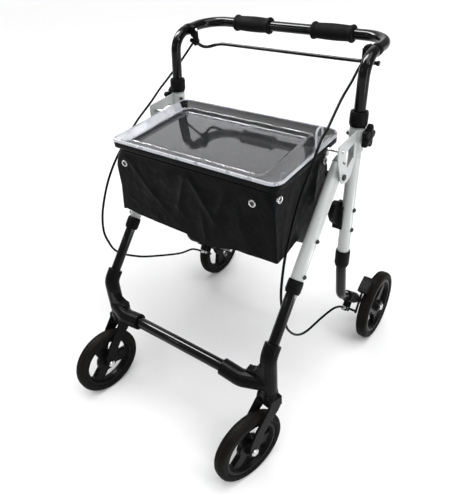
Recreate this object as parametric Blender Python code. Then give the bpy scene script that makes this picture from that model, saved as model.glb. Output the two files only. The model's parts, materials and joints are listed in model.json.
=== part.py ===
"""A folding rollator with a bag and a clear tray, built as separate solids.

Metres, +Z up. The front casters point towards -Y and the user stands at +Y. Left is -X, as seen from
the front. The origin is on the floor, under the middle of the whole object.
"""

import math

import bmesh
import bpy
from mathutils import Matrix, Vector

# Clearances
GAP = 0.0003
RUNNING = 0.0004
SLEEVE_FIT = 0.0004

# Wheels
REAR_WHEEL_RADIUS = 0.090
FRONT_WHEEL_RADIUS = 0.084
TYRE_WIDTH = 0.027
TYRE_DEPTH = 0.0175
TREAD_CROWN = 0.0035
TREAD_HALF = 0.0040
RIM_DEPTH = 0.009
RIM_WIDTH = 0.022
SPOKE_WEB = 0.010
HUB_RADIUS = 0.015
WINDOW_INNER = 0.025
WINDOW_COUNT = 3
SPOKE_WIDTH = 0.024
FRONT_WHEEL_TURN = {"left": 45.0, "right": 45.0}
REAR_WHEEL_TURN = {"left": 200.0, "right": 100.0}
WHEEL_SIDES = 32
AXLE_RADIUS = 0.004

# Rear frame
REAR_WHEEL_X = 0.251
REAR_AXLE_Y = 0.260
REAR_HUB_HALF = 0.0155
UPRIGHT_X = 0.224
UPRIGHT_Y = 0.127
UPRIGHT_Y_HEIGHT = 0.678
UPRIGHT_LEAN = 0.1025
UPRIGHT_BOTTOM = 0.335
UPRIGHT_TOP = 0.655
UPRIGHT_RADIUS = 0.0127
INNER_TUBE_RADIUS = 0.011
TUBE_WALL = 0.0015
REAR_TUBE_TOP = 0.400
REAR_TUBE_X = 0.222
REAR_KNEE_HEIGHT = 0.322
REAR_ELBOW_Y = 0.1035
REAR_ELBOW_HEIGHT = 0.234
REAR_KNEE_RADIUS = 0.060
REAR_ELBOW_RADIUS = 0.040
REAR_TUBE_PAST_AXLE = 0.009
AXLE_HEAD_RADIUS = 0.0075
AXLE_HEAD_DEPTH = 0.004
AXLE_HEAD_EDGE = 0.001
AXLE_SPACER_RADIUS = 0.007
REAR_CAP_RADIUS = 0.009
REAR_CAP_FACE_RADIUS = 0.006
REAR_CAP_SLOPE = 0.002
COLLAR_RADIUS = 0.015
REAR_COLLAR_BOTTOM = 0.331
REAR_COLLAR_TOP = 0.370
REAR_AXLE_CAP_X = 0.2725

# Front frame
LEG_X = 0.2135
LEG_Y = -0.003
LEG_Y_HEIGHT = 0.512
LEG_SLOPE = 0.925
LEG_TOP = 0.591
LEG_BOTTOM = 0.410
LEG_RADIUS = 0.013
FRONT_TUBE_TOP = 0.460
FRONT_TUBE_BOTTOM = 0.3030
FRONT_COLLAR_BOTTOM = 0.397
FRONT_COLLAR_TOP = 0.417
FOLD_PIVOT_HEIGHT = 0.573
FOLD_PIVOT_RADIUS = 0.004
FOLD_PIVOT_HEAD = 0.006

# Corner castings and casters
STEM_Y = -0.198
CASTING_RADIUS = 0.0168
CASTING_TOP = 0.322
CASTING_BOTTOM = 0.2075
CASTING_BEND = 0.030
CROSS_TUBE_HEIGHT = 0.237
CASTING_ARM_RADIUS = 0.0185
CASTING_ARM_DROP = 0.0060
CASTING_ARM_END = 0.116
CASTING_SWEEP_X = 0.160
CROSS_TUBE_Y = -0.219
CROSS_TUBE_RADIUS = 0.0125
CROSS_TUBE_HALF = 0.138
STEM_RADIUS = 0.006
STEM_TOP = 0.268
CASTER_TRAIL = 0.063
CASTER_SWING = {"left": 9.0, "right": 15.5}
FORK_GAP = 0.030
FORK_ARM = 0.0055
FORK_CROWN_SHOULDER = 0.1975
FORK_CROWN_BOTTOM = 0.1725
FORK_CROWN_HALF = 0.0150
FORK_FOOT_RADIUS = 0.0125
FORK_HOLE_REACH = 0.04
FRONT_HUB_HALF = 0.0145

# Handle, grips and brake bar
HANDLE_HEIGHT = 0.776
HANDLE_Y = 0.266
HANDLE_BOTTOM = 0.480
HANDLE_FRONT_BEND = 0.042
HANDLE_CORNER_BEND = 0.055
GRIP_INNER = 0.051
GRIP_OUTER = 0.145
GRIP_RADIUS = 0.0163
GRIP_FLARE = 0.0183
BAR_RADIUS = 0.003
BAR_X = 0.1885
BAR_Y = 0.208
BAR_HEIGHT = HANDLE_HEIGHT - 0.0325
BAR_PIVOT_Y = 0.183
BAR_PIVOT_HEIGHT = HANDLE_HEIGHT - 0.0245
BAR_PIN_X = 0.2335
BAR_ELBOW = 0.0045
BAR_CORNER = 0.014
BAR_STRAP_INNER = 0.1945
BAR_STRAP_OUTER = 0.2115
BAR_STRAP_TOP = HANDLE_HEIGHT + 0.0090
BAR_BLOCK_OUTER = 0.229
BAR_BLOCK_DEPTH = 0.014
BAR_BLOCK_BOTTOM = HANDLE_HEIGHT - 0.0315
BAR_RING_RADIUS = 0.0143

# Height clamps
HEIGHT_COLLAR_BOTTOM = 0.649
HEIGHT_COLLAR_TOP = 0.678
KNOB_HEIGHT = 0.632
KNOB_RADIUS = 0.0212
KNOB_LOBE = 0.0030
KNOB_LOBES = 5
KNOB_INNER_X = 0.2412
KNOB_OUTER_X = 0.2525
KNOB_NECK_RADIUS = 0.009
KNOB_SCREW_RADIUS = 0.004
KNOB_HOLE_REACH = 0.03

# Fold brackets
BRACKET_X = 0.2285
BRACKET_THICKNESS = 0.003
BRACKET_SLEEVE_RADIUS = 0.0152
BRACKET_SLEEVE_BOTTOM = 0.600
BRACKET_SLEEVE_TOP = 0.648
BRACKET_HEM = 0.005
BRACKET_TOP = 0.6595
BRACKET_COLLAR_CLEARANCE = 0.002
# The side plate's front edge from its top down: (y, height)
BRACKET_FRONT_EDGE = (
    (0.0765, BRACKET_TOP),
    (0.0480, 0.6560),
    (0.0320, 0.6490),
    (0.0280, 0.6365),
    (0.0280, 0.6155),
    (0.0370, 0.5905),
)
# Its lower edge round the leg's pivot, as steps from the pivot: (y, height)
BRACKET_LOWER_EDGE = ((-0.0090, -0.0040), (-0.0030, -0.0130), (0.0140, -0.0200), (0.0340, -0.0160))
BRACKET_WINDOW = ((0.060, 0.621), (0.098, 0.627), (0.098, 0.594), (0.070, 0.580))
BRACKET_SLIT = ((0.0470, 0.6065), (0.0490, 0.6093), (0.0612, 0.5990), (0.0592, 0.5962))

# Bag, its wire frame and the tray
BAG_BOTTOM = 0.463
BAG_HALF_TOP = 0.186
BAG_HALF_BOTTOM = 0.1925
BAG_FRONT = -0.1245
BAG_BACK = 0.0715
BAG_WALL = 0.0025
BAG_CORNER = 0.012
WIRE_RADIUS = 0.004
WIRE_HALF = 0.184
WIRE_FRONT = -0.1195
WIRE_BACK = 0.072
WIRE_HEIGHT = 0.6165
BAG_HANG = 0.0005
BAG_TOP = WIRE_HEIGHT - WIRE_RADIUS - BAG_HANG
WIRE_CORNER = 0.018
PIN_RADIUS = 0.0025
PIN_Y = 0.044
PIN_HEIGHT = 0.631
PIN_OUTER = 0.2350
PIN_DROP_X = 0.2008
PIN_BEND = 0.005
TRAY_HALF = 0.197
TRAY_FRONT = -0.127
TRAY_BACK = 0.112
TRAY_TOP = 0.640
TRAY_BOTTOM = WIRE_HEIGHT + WIRE_RADIUS + GAP
TRAY_CORNER = 0.023
TRAY_SKIRT = 0.003
TRAY_FOOT = 0.010
TRAY_FEET_Y = (-0.090, -0.030, 0.025)
TRAY_PANEL_TOP = 0.6315
TRAY_PANEL_BOTTOM = 0.6285
TRAY_SIDE_BAND = 0.040
TRAY_FRONT_BAND = 0.018
TRAY_BACK_BAND = 0.040
TRAY_PANEL_CORNER = 0.018

# Rear crossbar and its clamps
CROSSBAR_RADIUS = 0.0095
CROSSBAR_Y = 0.083
CROSSBAR_HEIGHT = 0.468
# The clamp's front and top, as steps from the crossbar's front and middle: (y, height)
CLAMP_UPPER_EDGE = ((-0.0080, -0.002), (-0.0080, 0.013), (0.001, 0.024), (0.017, 0.024))
CLAMP_CHIN = (-0.001, -0.017)
CLAMP_HEEL = 0.010
CLAMP_FOOT = 0.024
CLAMP_SEAT_REACH = 0.02
CLAMP_SOCKET_REACH = 0.01
CROSSBAR_HALF = 0.2072
CLAMP_INNER_X = 0.1985
CLAMP_PLATE_X = 0.2108
CLAMP_SADDLE_X = 0.2200
CLAMP_SADDLE_DEPTH = 0.0165
CLAMP_BOTTOM = 0.425
CLAMP_TOP = 0.478

# Rear brakes
SHOE_PIVOT_REACH = 0.101
SHOE_GAP = 0.0032
SHOE_DEPTH = 0.0165
SHOE_START = 104.0
SHOE_END = 127.0
SHOE_INNER_X = 0.2268
SHOE_OUTER_X = 0.2505
SHOE_ARM_X = 0.2363
SHOE_ARM_THICKNESS = 0.0035
SHOE_ARM_END = 141.0
SHOE_ARM_LIFT = 0.0025
SHOE_ARM_DEPTH = 0.0100
SHOE_TAIL_REACH = 0.096
SHOE_TAIL_RADIUS = 0.0045
SHOE_ANCHOR_X = 0.2135
SHOE_ANCHOR_RADIUS = 0.003
SHOE_PIN_RADIUS = 0.003
SHOE_PIN_HEAD = 0.005
BRAKE_SLEEVE_RADIUS = 0.0137
BRAKE_SLEEVE_NEAR = 0.096
BRAKE_SLEEVE_FAR = 0.165
EAR_REACHES = (0.108, 0.132)
EAR_THICKNESS = 0.003
EAR_HALF_WIDTH = 0.006
EAR_DEPTH = 0.0370
ADJUSTER_X = 0.218
ADJUSTER_DROP = 0.0305
ADJUSTER_RADIUS = 0.0033
ADJUSTER_BACK = 0.1035
ADJUSTER_FRONT = 0.1480
WIRE_BORE = 0.0012

# Brake cables
CABLE_RADIUS = 0.0021
CABLE_POINTS = 40
CABLE_START_X = 0.2028
CABLE_START_HEIGHT = BAR_PIVOT_HEIGHT + 0.0010
CABLE_SEAT = 0.0010
CABLE_ROUTES = {
    "right": (
        (0.2018, 0.1580, 0.7440),
        (0.2012, 0.1340, 0.7285),
        (0.2010, 0.0920, 0.7080),
        (0.2012, 0.0405, 0.6720),
        (0.2015, 0.0155, 0.6600),
        (0.2010, -0.0245, 0.6155),
        (0.1975, -0.0475, 0.5790),
        (0.1965, -0.0716, 0.5380),
        (0.1965, -0.0934, 0.4955),
        (0.1965, -0.1045, 0.4727),
        (0.1965, -0.1160, 0.4280),
        (0.1965, -0.1205, 0.3857),
        (0.1965, -0.1150, 0.3450),
        (0.1968, -0.1060, 0.3090),
        (0.1972, -0.0942, 0.2758),
        (0.1985, -0.0630, 0.2350),
        (0.2020, -0.0251, 0.2130),
        (0.2090, 0.0328, 0.2085),
        (0.2145, 0.0820, 0.2000),
        (0.2175, 0.1120, 0.1845),
    ),
    "left": (
        (0.2042, 0.1580, 0.7405),
        (0.2065, 0.1270, 0.7235),
        (0.2130, 0.0989, 0.7038),
        (0.2300, 0.0590, 0.6720),
        (0.2365, 0.0400, 0.6520),
        (0.2385, -0.0093, 0.6225),
        (0.2385, -0.0450, 0.5980),
        (0.2385, -0.0828, 0.5709),
        (0.2385, -0.1121, 0.5424),
        (0.2385, -0.1364, 0.5088),
        (0.2385, -0.1600, 0.4600),
        (0.2385, -0.1680, 0.4154),
        (0.2385, -0.1610, 0.3782),
        (0.2385, -0.1495, 0.3495),
        (0.2360, -0.1280, 0.3239),
        (0.2320, -0.0961, 0.2976),
        (0.2280, -0.0679, 0.2784),
        (0.2220, -0.0042, 0.2423),
        (0.2190, 0.0497, 0.2139),
        (0.2180, 0.0920, 0.1990),
        (0.2180, 0.1130, 0.1840),
    ),
}

SIDES = (("left", -1), ("right", 1))
X_AXIS = Vector((1, 0, 0))
Y_AXIS = Vector((0, 1, 0))
Z_AXIS = Vector((0, 0, 1))
TUBE_RESOLUTION = 6
ROUND_SIDES = 16
BOLT_SIDES = 12


# Materials


def finish(name, colour, roughness, metallic=0.0, alpha=1.0):
    """A Principled material, made once for each name."""
    found = bpy.data.materials.get(name)
    if found:
        return found
    made = bpy.data.materials.new(name)
    made.use_nodes = True
    made.diffuse_color = (*colour, alpha)
    shader = made.node_tree.nodes["Principled BSDF"]
    shader.inputs["Base Color"].default_value = (*colour, 1.0)
    shader.inputs["Roughness"].default_value = roughness
    shader.inputs["Metallic"].default_value = metallic
    shader.inputs["Alpha"].default_value = alpha
    return made


def white_paint():
    return finish("white_paint", (0.80, 0.82, 0.81), 0.30)


def black_paint():
    return finish("black_paint", (0.012, 0.012, 0.013), 0.22)


def black_plastic():
    return finish("black_plastic", (0.016, 0.016, 0.017), 0.40)


def gloss_plastic():
    return finish("gloss_plastic", (0.010, 0.010, 0.011), 0.18)


def tyre_rubber():
    return finish("tyre_rubber", (0.020, 0.020, 0.020), 0.62)


def grip_foam():
    return finish("grip_foam", (0.022, 0.022, 0.023), 0.88)


def steel():
    return finish("steel", (0.55, 0.55, 0.56), 0.28, metallic=1.0)


def dark_steel():
    return finish("dark_steel", (0.03, 0.03, 0.032), 0.35, metallic=0.6)


def cable_skin():
    return finish("cable_skin", (0.012, 0.012, 0.012), 0.35)


def bag_fabric():
    return finish("bag_fabric", (0.020, 0.020, 0.022), 0.70)


def clear_acrylic():
    return finish("clear_acrylic", (0.55, 0.57, 0.59), 0.06, alpha=0.45)


# Modelling tools


def object_of(name, bm):
    """Closes a bmesh into a linked object with its faces pointing out."""
    bmesh.ops.remove_doubles(bm, verts=bm.verts, dist=1e-6)
    bmesh.ops.recalc_face_normals(bm, faces=bm.faces)
    mesh = bpy.data.meshes.new(name)
    bm.to_mesh(mesh)
    bm.free()
    made = bpy.data.objects.new(name, mesh)
    bpy.context.scene.collection.objects.link(made)
    return made


def turned(name, profile, start, axis, sides=ROUND_SIDES):
    """A profile of (radius, distance along) turned round an axis. One that keeps off the axis is a ring."""
    bm = bmesh.new()
    points = [bm.verts.new((radius, 0.0, along)) for radius, along in profile]
    edges = [bm.edges.new(pair) for pair in zip(points, points[1:])]
    if min(radius for radius, _ in profile) > 0:
        edges.append(bm.edges.new((points[-1], points[0])))
    bmesh.ops.spin(
        bm,
        geom=points + edges,
        cent=(0, 0, 0),
        axis=(0, 0, 1),
        angle=math.tau,
        steps=sides,
        use_merge=True,
    )
    bmesh.ops.rotate(bm, verts=bm.verts, matrix=Matrix.Rotation(math.pi / sides, 3, "Z"))
    turn = Z_AXIS.rotation_difference(Vector(axis)).to_matrix()
    bmesh.ops.rotate(bm, verts=bm.verts, matrix=turn)
    bmesh.ops.translate(bm, verts=bm.verts, vec=Vector(start))
    return object_of(name, bm)


def rod(name, start, end, radius, sides=ROUND_SIDES):
    """A plain round bar between two points."""
    start, end = Vector(start), Vector(end)
    length = (end - start).length
    profile = ((0.0, 0.0), (radius, 0.0), (radius, length), (0.0, length))
    return turned(name, profile, start, end - start, sides)


def filleted(corners, radii, step=math.radians(18)):
    """A polyline whose inner corners are rounded to the given radii."""
    corners = [Vector(corner) for corner in corners]
    points = [corners[0]]
    for before, corner, after, radius in zip(corners, corners[1:], corners[2:], radii):
        arriving = (before - corner).normalized()
        leaving = (after - corner).normalized()
        turn = math.pi - arriving.angle(leaving)
        reach = radius * math.tan(turn / 2)
        middle = corner + (arriving + leaving).normalized() * (radius / math.cos(turn / 2))
        first = corner + arriving * reach - middle
        last = corner + leaving * reach - middle
        count = max(2, math.ceil(turn / step))
        for index in range(count + 1):
            share = index / count
            ahead = math.sin((1 - share) * turn) * first + math.sin(share * turn) * last
            points.append(middle + ahead / math.sin(turn))
    points.append(corners[-1])
    return points


def swept(name, points, radius, resolution=TUBE_RESOLUTION, wall=None, cyclic=False):
    """A round bar along a path or, with a wall, an open tube."""
    curve = bpy.data.curves.new(name, "CURVE")
    curve.dimensions = "3D"
    curve.bevel_depth = radius
    curve.bevel_resolution = resolution
    curve.use_fill_caps = wall is None
    spline = curve.splines.new("POLY")
    spline.points.add(len(points) - 1)
    for point, place in zip(spline.points, points):
        point.co = (*place, 1.0)
    spline.use_cyclic_u = cyclic
    made = bpy.data.objects.new(name, curve)
    bpy.context.scene.collection.objects.link(made)
    if wall is not None:
        shell = made.modifiers.new("wall", "SOLIDIFY")
        shell.thickness = wall
        shell.offset = -1
        shell.use_even_offset = True
    return as_mesh(made)


def as_mesh(source):
    """Replaces an object by its evaluated mesh, with its faces pointing out."""
    bpy.context.view_layer.update()
    graph = bpy.context.evaluated_depsgraph_get()
    mesh = bpy.data.meshes.new_from_object(source.evaluated_get(graph))
    name = source.name
    bpy.data.objects.remove(source)
    bm = bmesh.new()
    bm.from_mesh(mesh)
    bpy.data.meshes.remove(mesh)
    return object_of(name, bm)


def prism(name, outline, axis, low, high):
    """A flat outline of two of the axes' values, in order, made solid along the third axis."""
    bm = bmesh.new()
    places = {
        "X": lambda a, b: (low, a, b),
        "Y": lambda a, b: (a, low, b),
        "Z": lambda a, b: (a, b, low),
    }
    along = {"X": X_AXIS, "Y": Y_AXIS, "Z": Z_AXIS}[axis] * (high - low)
    face = bm.faces.new([bm.verts.new(places[axis](a, b)) for a, b in outline])
    raised = bmesh.ops.extrude_face_region(bm, geom=[face])
    moved = [item for item in raised["geom"] if isinstance(item, bmesh.types.BMVert)]
    bmesh.ops.translate(bm, verts=moved, vec=along)
    return object_of(name, bm)


def box(name, low, high, bevel=0.0):
    """A block between two corners, with its edges bevelled where a width is given."""
    corners = [(low[0], low[1]), (high[0], low[1]), (high[0], high[1]), (low[0], high[1])]
    made = prism(name, corners, "Z", low[2], high[2])
    if not bevel:
        return made
    bm = bmesh.new()
    bm.from_mesh(made.data)
    bpy.data.objects.remove(made)
    bmesh.ops.bevel(bm, geom=bm.edges[:], offset=bevel, segments=2, profile=0.5, affect="EDGES")
    return object_of(name, bm)


def boolean(target, others, operation):
    """Joins others to a target, or cuts them from it, and removes them."""
    for other in others:
        step = target.modifiers.new(operation.lower(), "BOOLEAN")
        step.operation = operation
        step.solver = "EXACT"
        step.object = other
    made = as_mesh(target)
    for other in others:
        bpy.data.objects.remove(other)
    return made


def joined(target, *others):
    return boolean(target, others, "UNION")


def cut(target, *others):
    return boolean(target, others, "DIFFERENCE")


def arc(centre, radius, start, end, count):
    """Points of an arc, from and to angles in degrees."""
    angles = [math.radians(start + (end - start) * index / count) for index in range(count + 1)]
    return [(centre[0] + radius * math.cos(a), centre[1] + radius * math.sin(a)) for a in angles]


def rounded_rectangle(low, high, radius, count=4):
    """A rectangle's outline with round corners, anticlockwise."""
    corners = (
        (high[0] - radius, high[1] - radius, 0),
        (low[0] + radius, high[1] - radius, 90),
        (low[0] + radius, low[1] + radius, 180),
        (high[0] - radius, low[1] + radius, 270),
    )
    return [point for x, y, turn in corners for point in arc((x, y), radius, turn, turn + 90, count)]


def loft(name, rings):
    """A closed solid through rings of equally many points, with flat ends."""
    bm = bmesh.new()
    rows = [[bm.verts.new(point) for point in ring] for ring in rings]
    for lower, upper in zip(rows, rows[1:]):
        for index in range(len(lower)):
            after = (index + 1) % len(lower)
            bm.faces.new((lower[index], lower[after], upper[after], upper[index]))
    bm.faces.new(rows[0])
    bm.faces.new(rows[-1])
    return object_of(name, bm)


def smooth_route(route, count):
    """Evenly spaced points of a smooth curve through a route's own points."""
    route = [Vector(point) for point in route]
    padded = [2 * route[0] - route[1], *route, 2 * route[-1] - route[-2]]
    fine = []
    for a, b, c, d in zip(padded, padded[1:], padded[2:], padded[3:]):
        for index in range(12):
            t = index / 12
            square = (2 * a - 5 * b + 4 * c - d) * t**2
            cube = (3 * b - a - 3 * c + d) * t**3
            fine.append(0.5 * (2 * b + (c - a) * t + square + cube))
    fine.append(route[-1])
    travelled = [0.0]
    for before, after in zip(fine, fine[1:]):
        travelled.append(travelled[-1] + (after - before).length)
    points = []
    reached = 0
    for index in range(count):
        target = travelled[-1] * index / (count - 1)
        while reached < len(fine) - 2 and travelled[reached + 1] < target:
            reached += 1
        share = (target - travelled[reached]) / (travelled[reached + 1] - travelled[reached])
        points.append(fine[reached].lerp(fine[reached + 1], share))
    return points


def dressed(made, material, sharp=35):
    """Gives a finished piece its material and smooth round faces."""
    made.data.materials.clear()
    made.data.materials.append(material)
    made.data.shade_smooth()
    made.data.set_sharp_from_angle(angle=math.radians(sharp))
    return made


# Lines that several pieces share


def upright_at(sign, height):
    return Vector((sign * UPRIGHT_X, UPRIGHT_Y + UPRIGHT_LEAN * (height - UPRIGHT_Y_HEIGHT), height))


def leg_at(sign, height):
    return Vector((sign * LEG_X, LEG_Y + LEG_SLOPE * (height - LEG_Y_HEIGHT), height))


def rear_elbow(sign):
    return Vector((sign * REAR_TUBE_X, REAR_ELBOW_Y, REAR_ELBOW_HEIGHT))


def rear_axle_point(sign):
    return Vector((sign * REAR_TUBE_X, REAR_AXLE_Y, REAR_WHEEL_RADIUS))


def fold_pivot_point(sign):
    return leg_at(sign, FOLD_PIVOT_HEIGHT)


def rear_run_at(sign, reach, drop=0.0, x=None):
    """A point beside the rear tube: how far up it from the axle, and how far off its lower side."""
    axle = rear_axle_point(sign)
    along = (rear_elbow(sign) - axle).normalized()
    below = X_AXIS.cross(Vector((0, along.y, along.z)))
    point = axle + along * reach + below * drop
    return point if x is None else Vector((sign * x, point.y, point.z))


def shoe_pivot_point(sign):
    return rear_run_at(sign, SHOE_PIVOT_REACH)


def knob_point(sign):
    return upright_at(sign, KNOB_HEIGHT)


def stem_point(sign):
    return Vector((sign * LEG_X, STEM_Y, FRONT_WHEEL_RADIUS))


def caster_turn(side):
    return Matrix.Rotation(-math.radians(CASTER_SWING[side]), 3, "Z")


def front_wheel_centre(side, sign):
    return stem_point(sign) + caster_turn(side) @ Vector((0, -CASTER_TRAIL, 0))


def sleeve(name, bottom, top, outer, steps):
    """A ring round a tube, whose bore changes at each (distance along, bore radius) step."""
    length = (top - bottom).length
    profile = [(outer, 0.001), (outer, length - 0.001), (outer - 0.001, length)]
    ends = [along for along, _ in steps[1:]] + [length]
    for (start, bore), end in reversed(list(zip(steps, ends))):
        profile += [(bore, end), (bore, start)]
    profile.append((outer - 0.001, 0.0))
    return turned(name, profile, bottom, top - bottom)


# Rear frame


def knob_screw_hole(sign):
    """The tool that cuts the height knob's screw hole."""
    start = knob_point(sign)
    return rod("screw_hole", start, start + X_AXIS * sign * KNOB_HOLE_REACH, KNOB_SCREW_RADIUS + RUNNING)


def make_upright(side, sign):
    bottom, top = upright_at(sign, UPRIGHT_BOTTOM), upright_at(sign, UPRIGHT_TOP)
    bore = INNER_TUBE_RADIUS + SLEEVE_FIT
    made = swept(f"upright_{side}", [bottom, top], UPRIGHT_RADIUS, wall=UPRIGHT_RADIUS - bore)
    return dressed(cut(made, knob_screw_hole(sign)), white_paint())


def make_height_collar(side, sign):
    bottom, top = upright_at(sign, HEIGHT_COLLAR_BOTTOM), upright_at(sign, HEIGHT_COLLAR_TOP)
    seat = (upright_at(sign, UPRIGHT_TOP) - bottom).length + GAP
    steps = ((0.0, UPRIGHT_RADIUS + SLEEVE_FIT), (seat, INNER_TUBE_RADIUS + SLEEVE_FIT))
    return dressed(sleeve(f"height_collar_{side}", bottom, top, COLLAR_RADIUS, steps), black_plastic())


def make_rear_collar(side, sign):
    bottom, top = upright_at(sign, REAR_COLLAR_BOTTOM), upright_at(sign, REAR_COLLAR_TOP)
    seat = (upright_at(sign, UPRIGHT_BOTTOM) - bottom).length - GAP
    steps = ((0.0, INNER_TUBE_RADIUS + SLEEVE_FIT), (seat, UPRIGHT_RADIUS + SLEEVE_FIT))
    return dressed(sleeve(f"rear_collar_{side}", bottom, top, COLLAR_RADIUS, steps), black_plastic())


def make_rear_tube(side, sign):
    axle = rear_axle_point(sign)
    past = axle + (axle - rear_elbow(sign)).normalized() * REAR_TUBE_PAST_AXLE
    corners = [upright_at(sign, REAR_TUBE_TOP), upright_at(sign, REAR_KNEE_HEIGHT), rear_elbow(sign), past]
    path = filleted(corners, [REAR_KNEE_RADIUS, REAR_ELBOW_RADIUS])
    made = swept(f"rear_tube_{side}", path, INNER_TUBE_RADIUS, wall=TUBE_WALL)
    reach = X_AXIS * 2 * INNER_TUBE_RADIUS
    hole = rod("axle_hole", axle - reach, axle + reach, AXLE_RADIUS + RUNNING)
    return dressed(cut(made, hole), black_paint())


def make_rear_axle(side, sign):
    """A bolt through the rear tube's end, with a spacer, the wheel's seat and an end cap."""
    head = REAR_TUBE_X - INNER_TUBE_RADIUS - GAP
    tube_outside = REAR_TUBE_X + INNER_TUBE_RADIUS + GAP
    hub_inside = REAR_WHEEL_X - REAR_HUB_HALF - GAP
    hub_outside = REAR_WHEEL_X + REAR_HUB_HALF + GAP
    profile = (
        (0.0, head - AXLE_HEAD_DEPTH),
        (AXLE_HEAD_RADIUS - AXLE_HEAD_EDGE, head - AXLE_HEAD_DEPTH),
        (AXLE_HEAD_RADIUS, head - AXLE_HEAD_DEPTH + AXLE_HEAD_EDGE),
        (AXLE_HEAD_RADIUS, head),
        (AXLE_RADIUS, head),
        (AXLE_RADIUS, tube_outside),
        (AXLE_SPACER_RADIUS, tube_outside),
        (AXLE_SPACER_RADIUS, hub_inside),
        (AXLE_RADIUS, hub_inside),
        (AXLE_RADIUS, hub_outside),
        (REAR_CAP_RADIUS, hub_outside),
        (REAR_CAP_RADIUS, REAR_AXLE_CAP_X - REAR_CAP_SLOPE),
        (REAR_CAP_FACE_RADIUS, REAR_AXLE_CAP_X),
        (0.0, REAR_AXLE_CAP_X),
    )
    start = Vector((0, REAR_AXLE_Y, REAR_WHEEL_RADIUS))
    return dressed(turned(f"rear_axle_{side}", profile, start, X_AXIS * sign, BOLT_SIDES), steel())


def make_rear_crossbar():
    ends = [Vector((sign * CROSSBAR_HALF, CROSSBAR_Y, CROSSBAR_HEIGHT)) for _, sign in SIDES]
    return dressed(swept("rear_crossbar", ends, CROSSBAR_RADIUS, wall=TUBE_WALL), black_paint())


def make_crossbar_clamp(side, sign):
    """A plastic clamp on the upright's inner side, which holds the crossbar's end in front of it."""
    middle = upright_at(sign, (CLAMP_BOTTOM + CLAMP_TOP) / 2)
    nose = CROSSBAR_Y - CROSSBAR_RADIUS
    outline = (
        *((nose + y, CROSSBAR_HEIGHT + height) for y, height in CLAMP_UPPER_EDGE),
        (middle.y + CLAMP_HEEL, CLAMP_TOP),
        (middle.y + CLAMP_HEEL, CLAMP_BOTTOM),
        (nose + CLAMP_FOOT, CLAMP_BOTTOM),
        (nose + CLAMP_CHIN[0], CROSSBAR_HEIGHT + CLAMP_CHIN[1]),
    )
    plate = prism(f"crossbar_clamp_{side}", outline, "X", sign * CLAMP_INNER_X, sign * CLAMP_PLATE_X)
    low = (sign * CLAMP_INNER_X, middle.y - CLAMP_SADDLE_DEPTH, CLAMP_BOTTOM)
    high = (sign * CLAMP_SADDLE_X, middle.y + CLAMP_SADDLE_DEPTH, CLAMP_TOP)
    saddle = box("saddle", low, high)
    seat_low = upright_at(sign, CLAMP_BOTTOM - CLAMP_SEAT_REACH)
    seat_high = upright_at(sign, CLAMP_TOP + CLAMP_SEAT_REACH)
    seat = rod("seat", seat_low, seat_high, UPRIGHT_RADIUS + SLEEVE_FIT)
    socket_end = sign * (CROSSBAR_HALF + GAP)
    start = Vector((sign * (CLAMP_INNER_X - CLAMP_SOCKET_REACH), CROSSBAR_Y, CROSSBAR_HEIGHT))
    end = Vector((socket_end, CROSSBAR_Y, CROSSBAR_HEIGHT))
    socket = rod("socket", start, end, CROSSBAR_RADIUS + SLEEVE_FIT)
    return dressed(cut(joined(plate, saddle), seat, socket), black_plastic())


def make_fold_bracket(side, sign):
    """A painted plate that a sleeve holds on the upright. The leg's pivot and the bag's pin go through it."""
    back = BRACKET_HEM
    inner, outer = sign * BRACKET_X, sign * (BRACKET_X + BRACKET_THICKNESS)
    pivot = fold_pivot_point(sign)
    collar_clear = upright_at(sign, HEIGHT_COLLAR_BOTTOM).y - COLLAR_RADIUS - BRACKET_COLLAR_CLEARANCE
    outline = (
        (upright_at(sign, BRACKET_SLEEVE_TOP).y - back, BRACKET_SLEEVE_TOP),
        (collar_clear, BRACKET_SLEEVE_TOP),
        (collar_clear, BRACKET_TOP),
        *BRACKET_FRONT_EDGE,
        *((pivot.y + y, pivot.z + height) for y, height in BRACKET_LOWER_EDGE),
        (upright_at(sign, BRACKET_SLEEVE_BOTTOM).y - back, BRACKET_SLEEVE_BOTTOM),
    )
    plate = prism(f"fold_bracket_{side}", outline, "X", inner, outer)
    low, high = upright_at(sign, BRACKET_SLEEVE_BOTTOM), upright_at(sign, BRACKET_SLEEVE_TOP)
    barrel = rod("barrel", low, high, BRACKET_SLEEVE_RADIUS)
    reach = (high - low).normalized() * 0.02
    bore = rod("bore", low - reach, high + reach, UPRIGHT_RADIUS + SLEEVE_FIT)
    across = X_AXIS * sign * 0.02
    centre = pivot + X_AXIS * (inner - sign * LEG_X)
    pivot_hole = rod("pivot_hole", centre - across, centre + across, FOLD_PIVOT_RADIUS + RUNNING)
    pin = Vector((inner, PIN_Y, PIN_HEIGHT))
    pin_hole = rod("pin_hole", pin - across, pin + across, PIN_RADIUS + RUNNING)
    screw = knob_screw_hole(sign)
    wide = (inner - sign * 0.01, outer + sign * 0.01)
    window = prism("window", BRACKET_WINDOW, "X", *wide)
    slit = prism("slit", BRACKET_SLIT, "X", *wide)
    made = cut(joined(plate, barrel), bore, pivot_hole, pin_hole, screw, window, slit)
    return dressed(made, white_paint())


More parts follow.
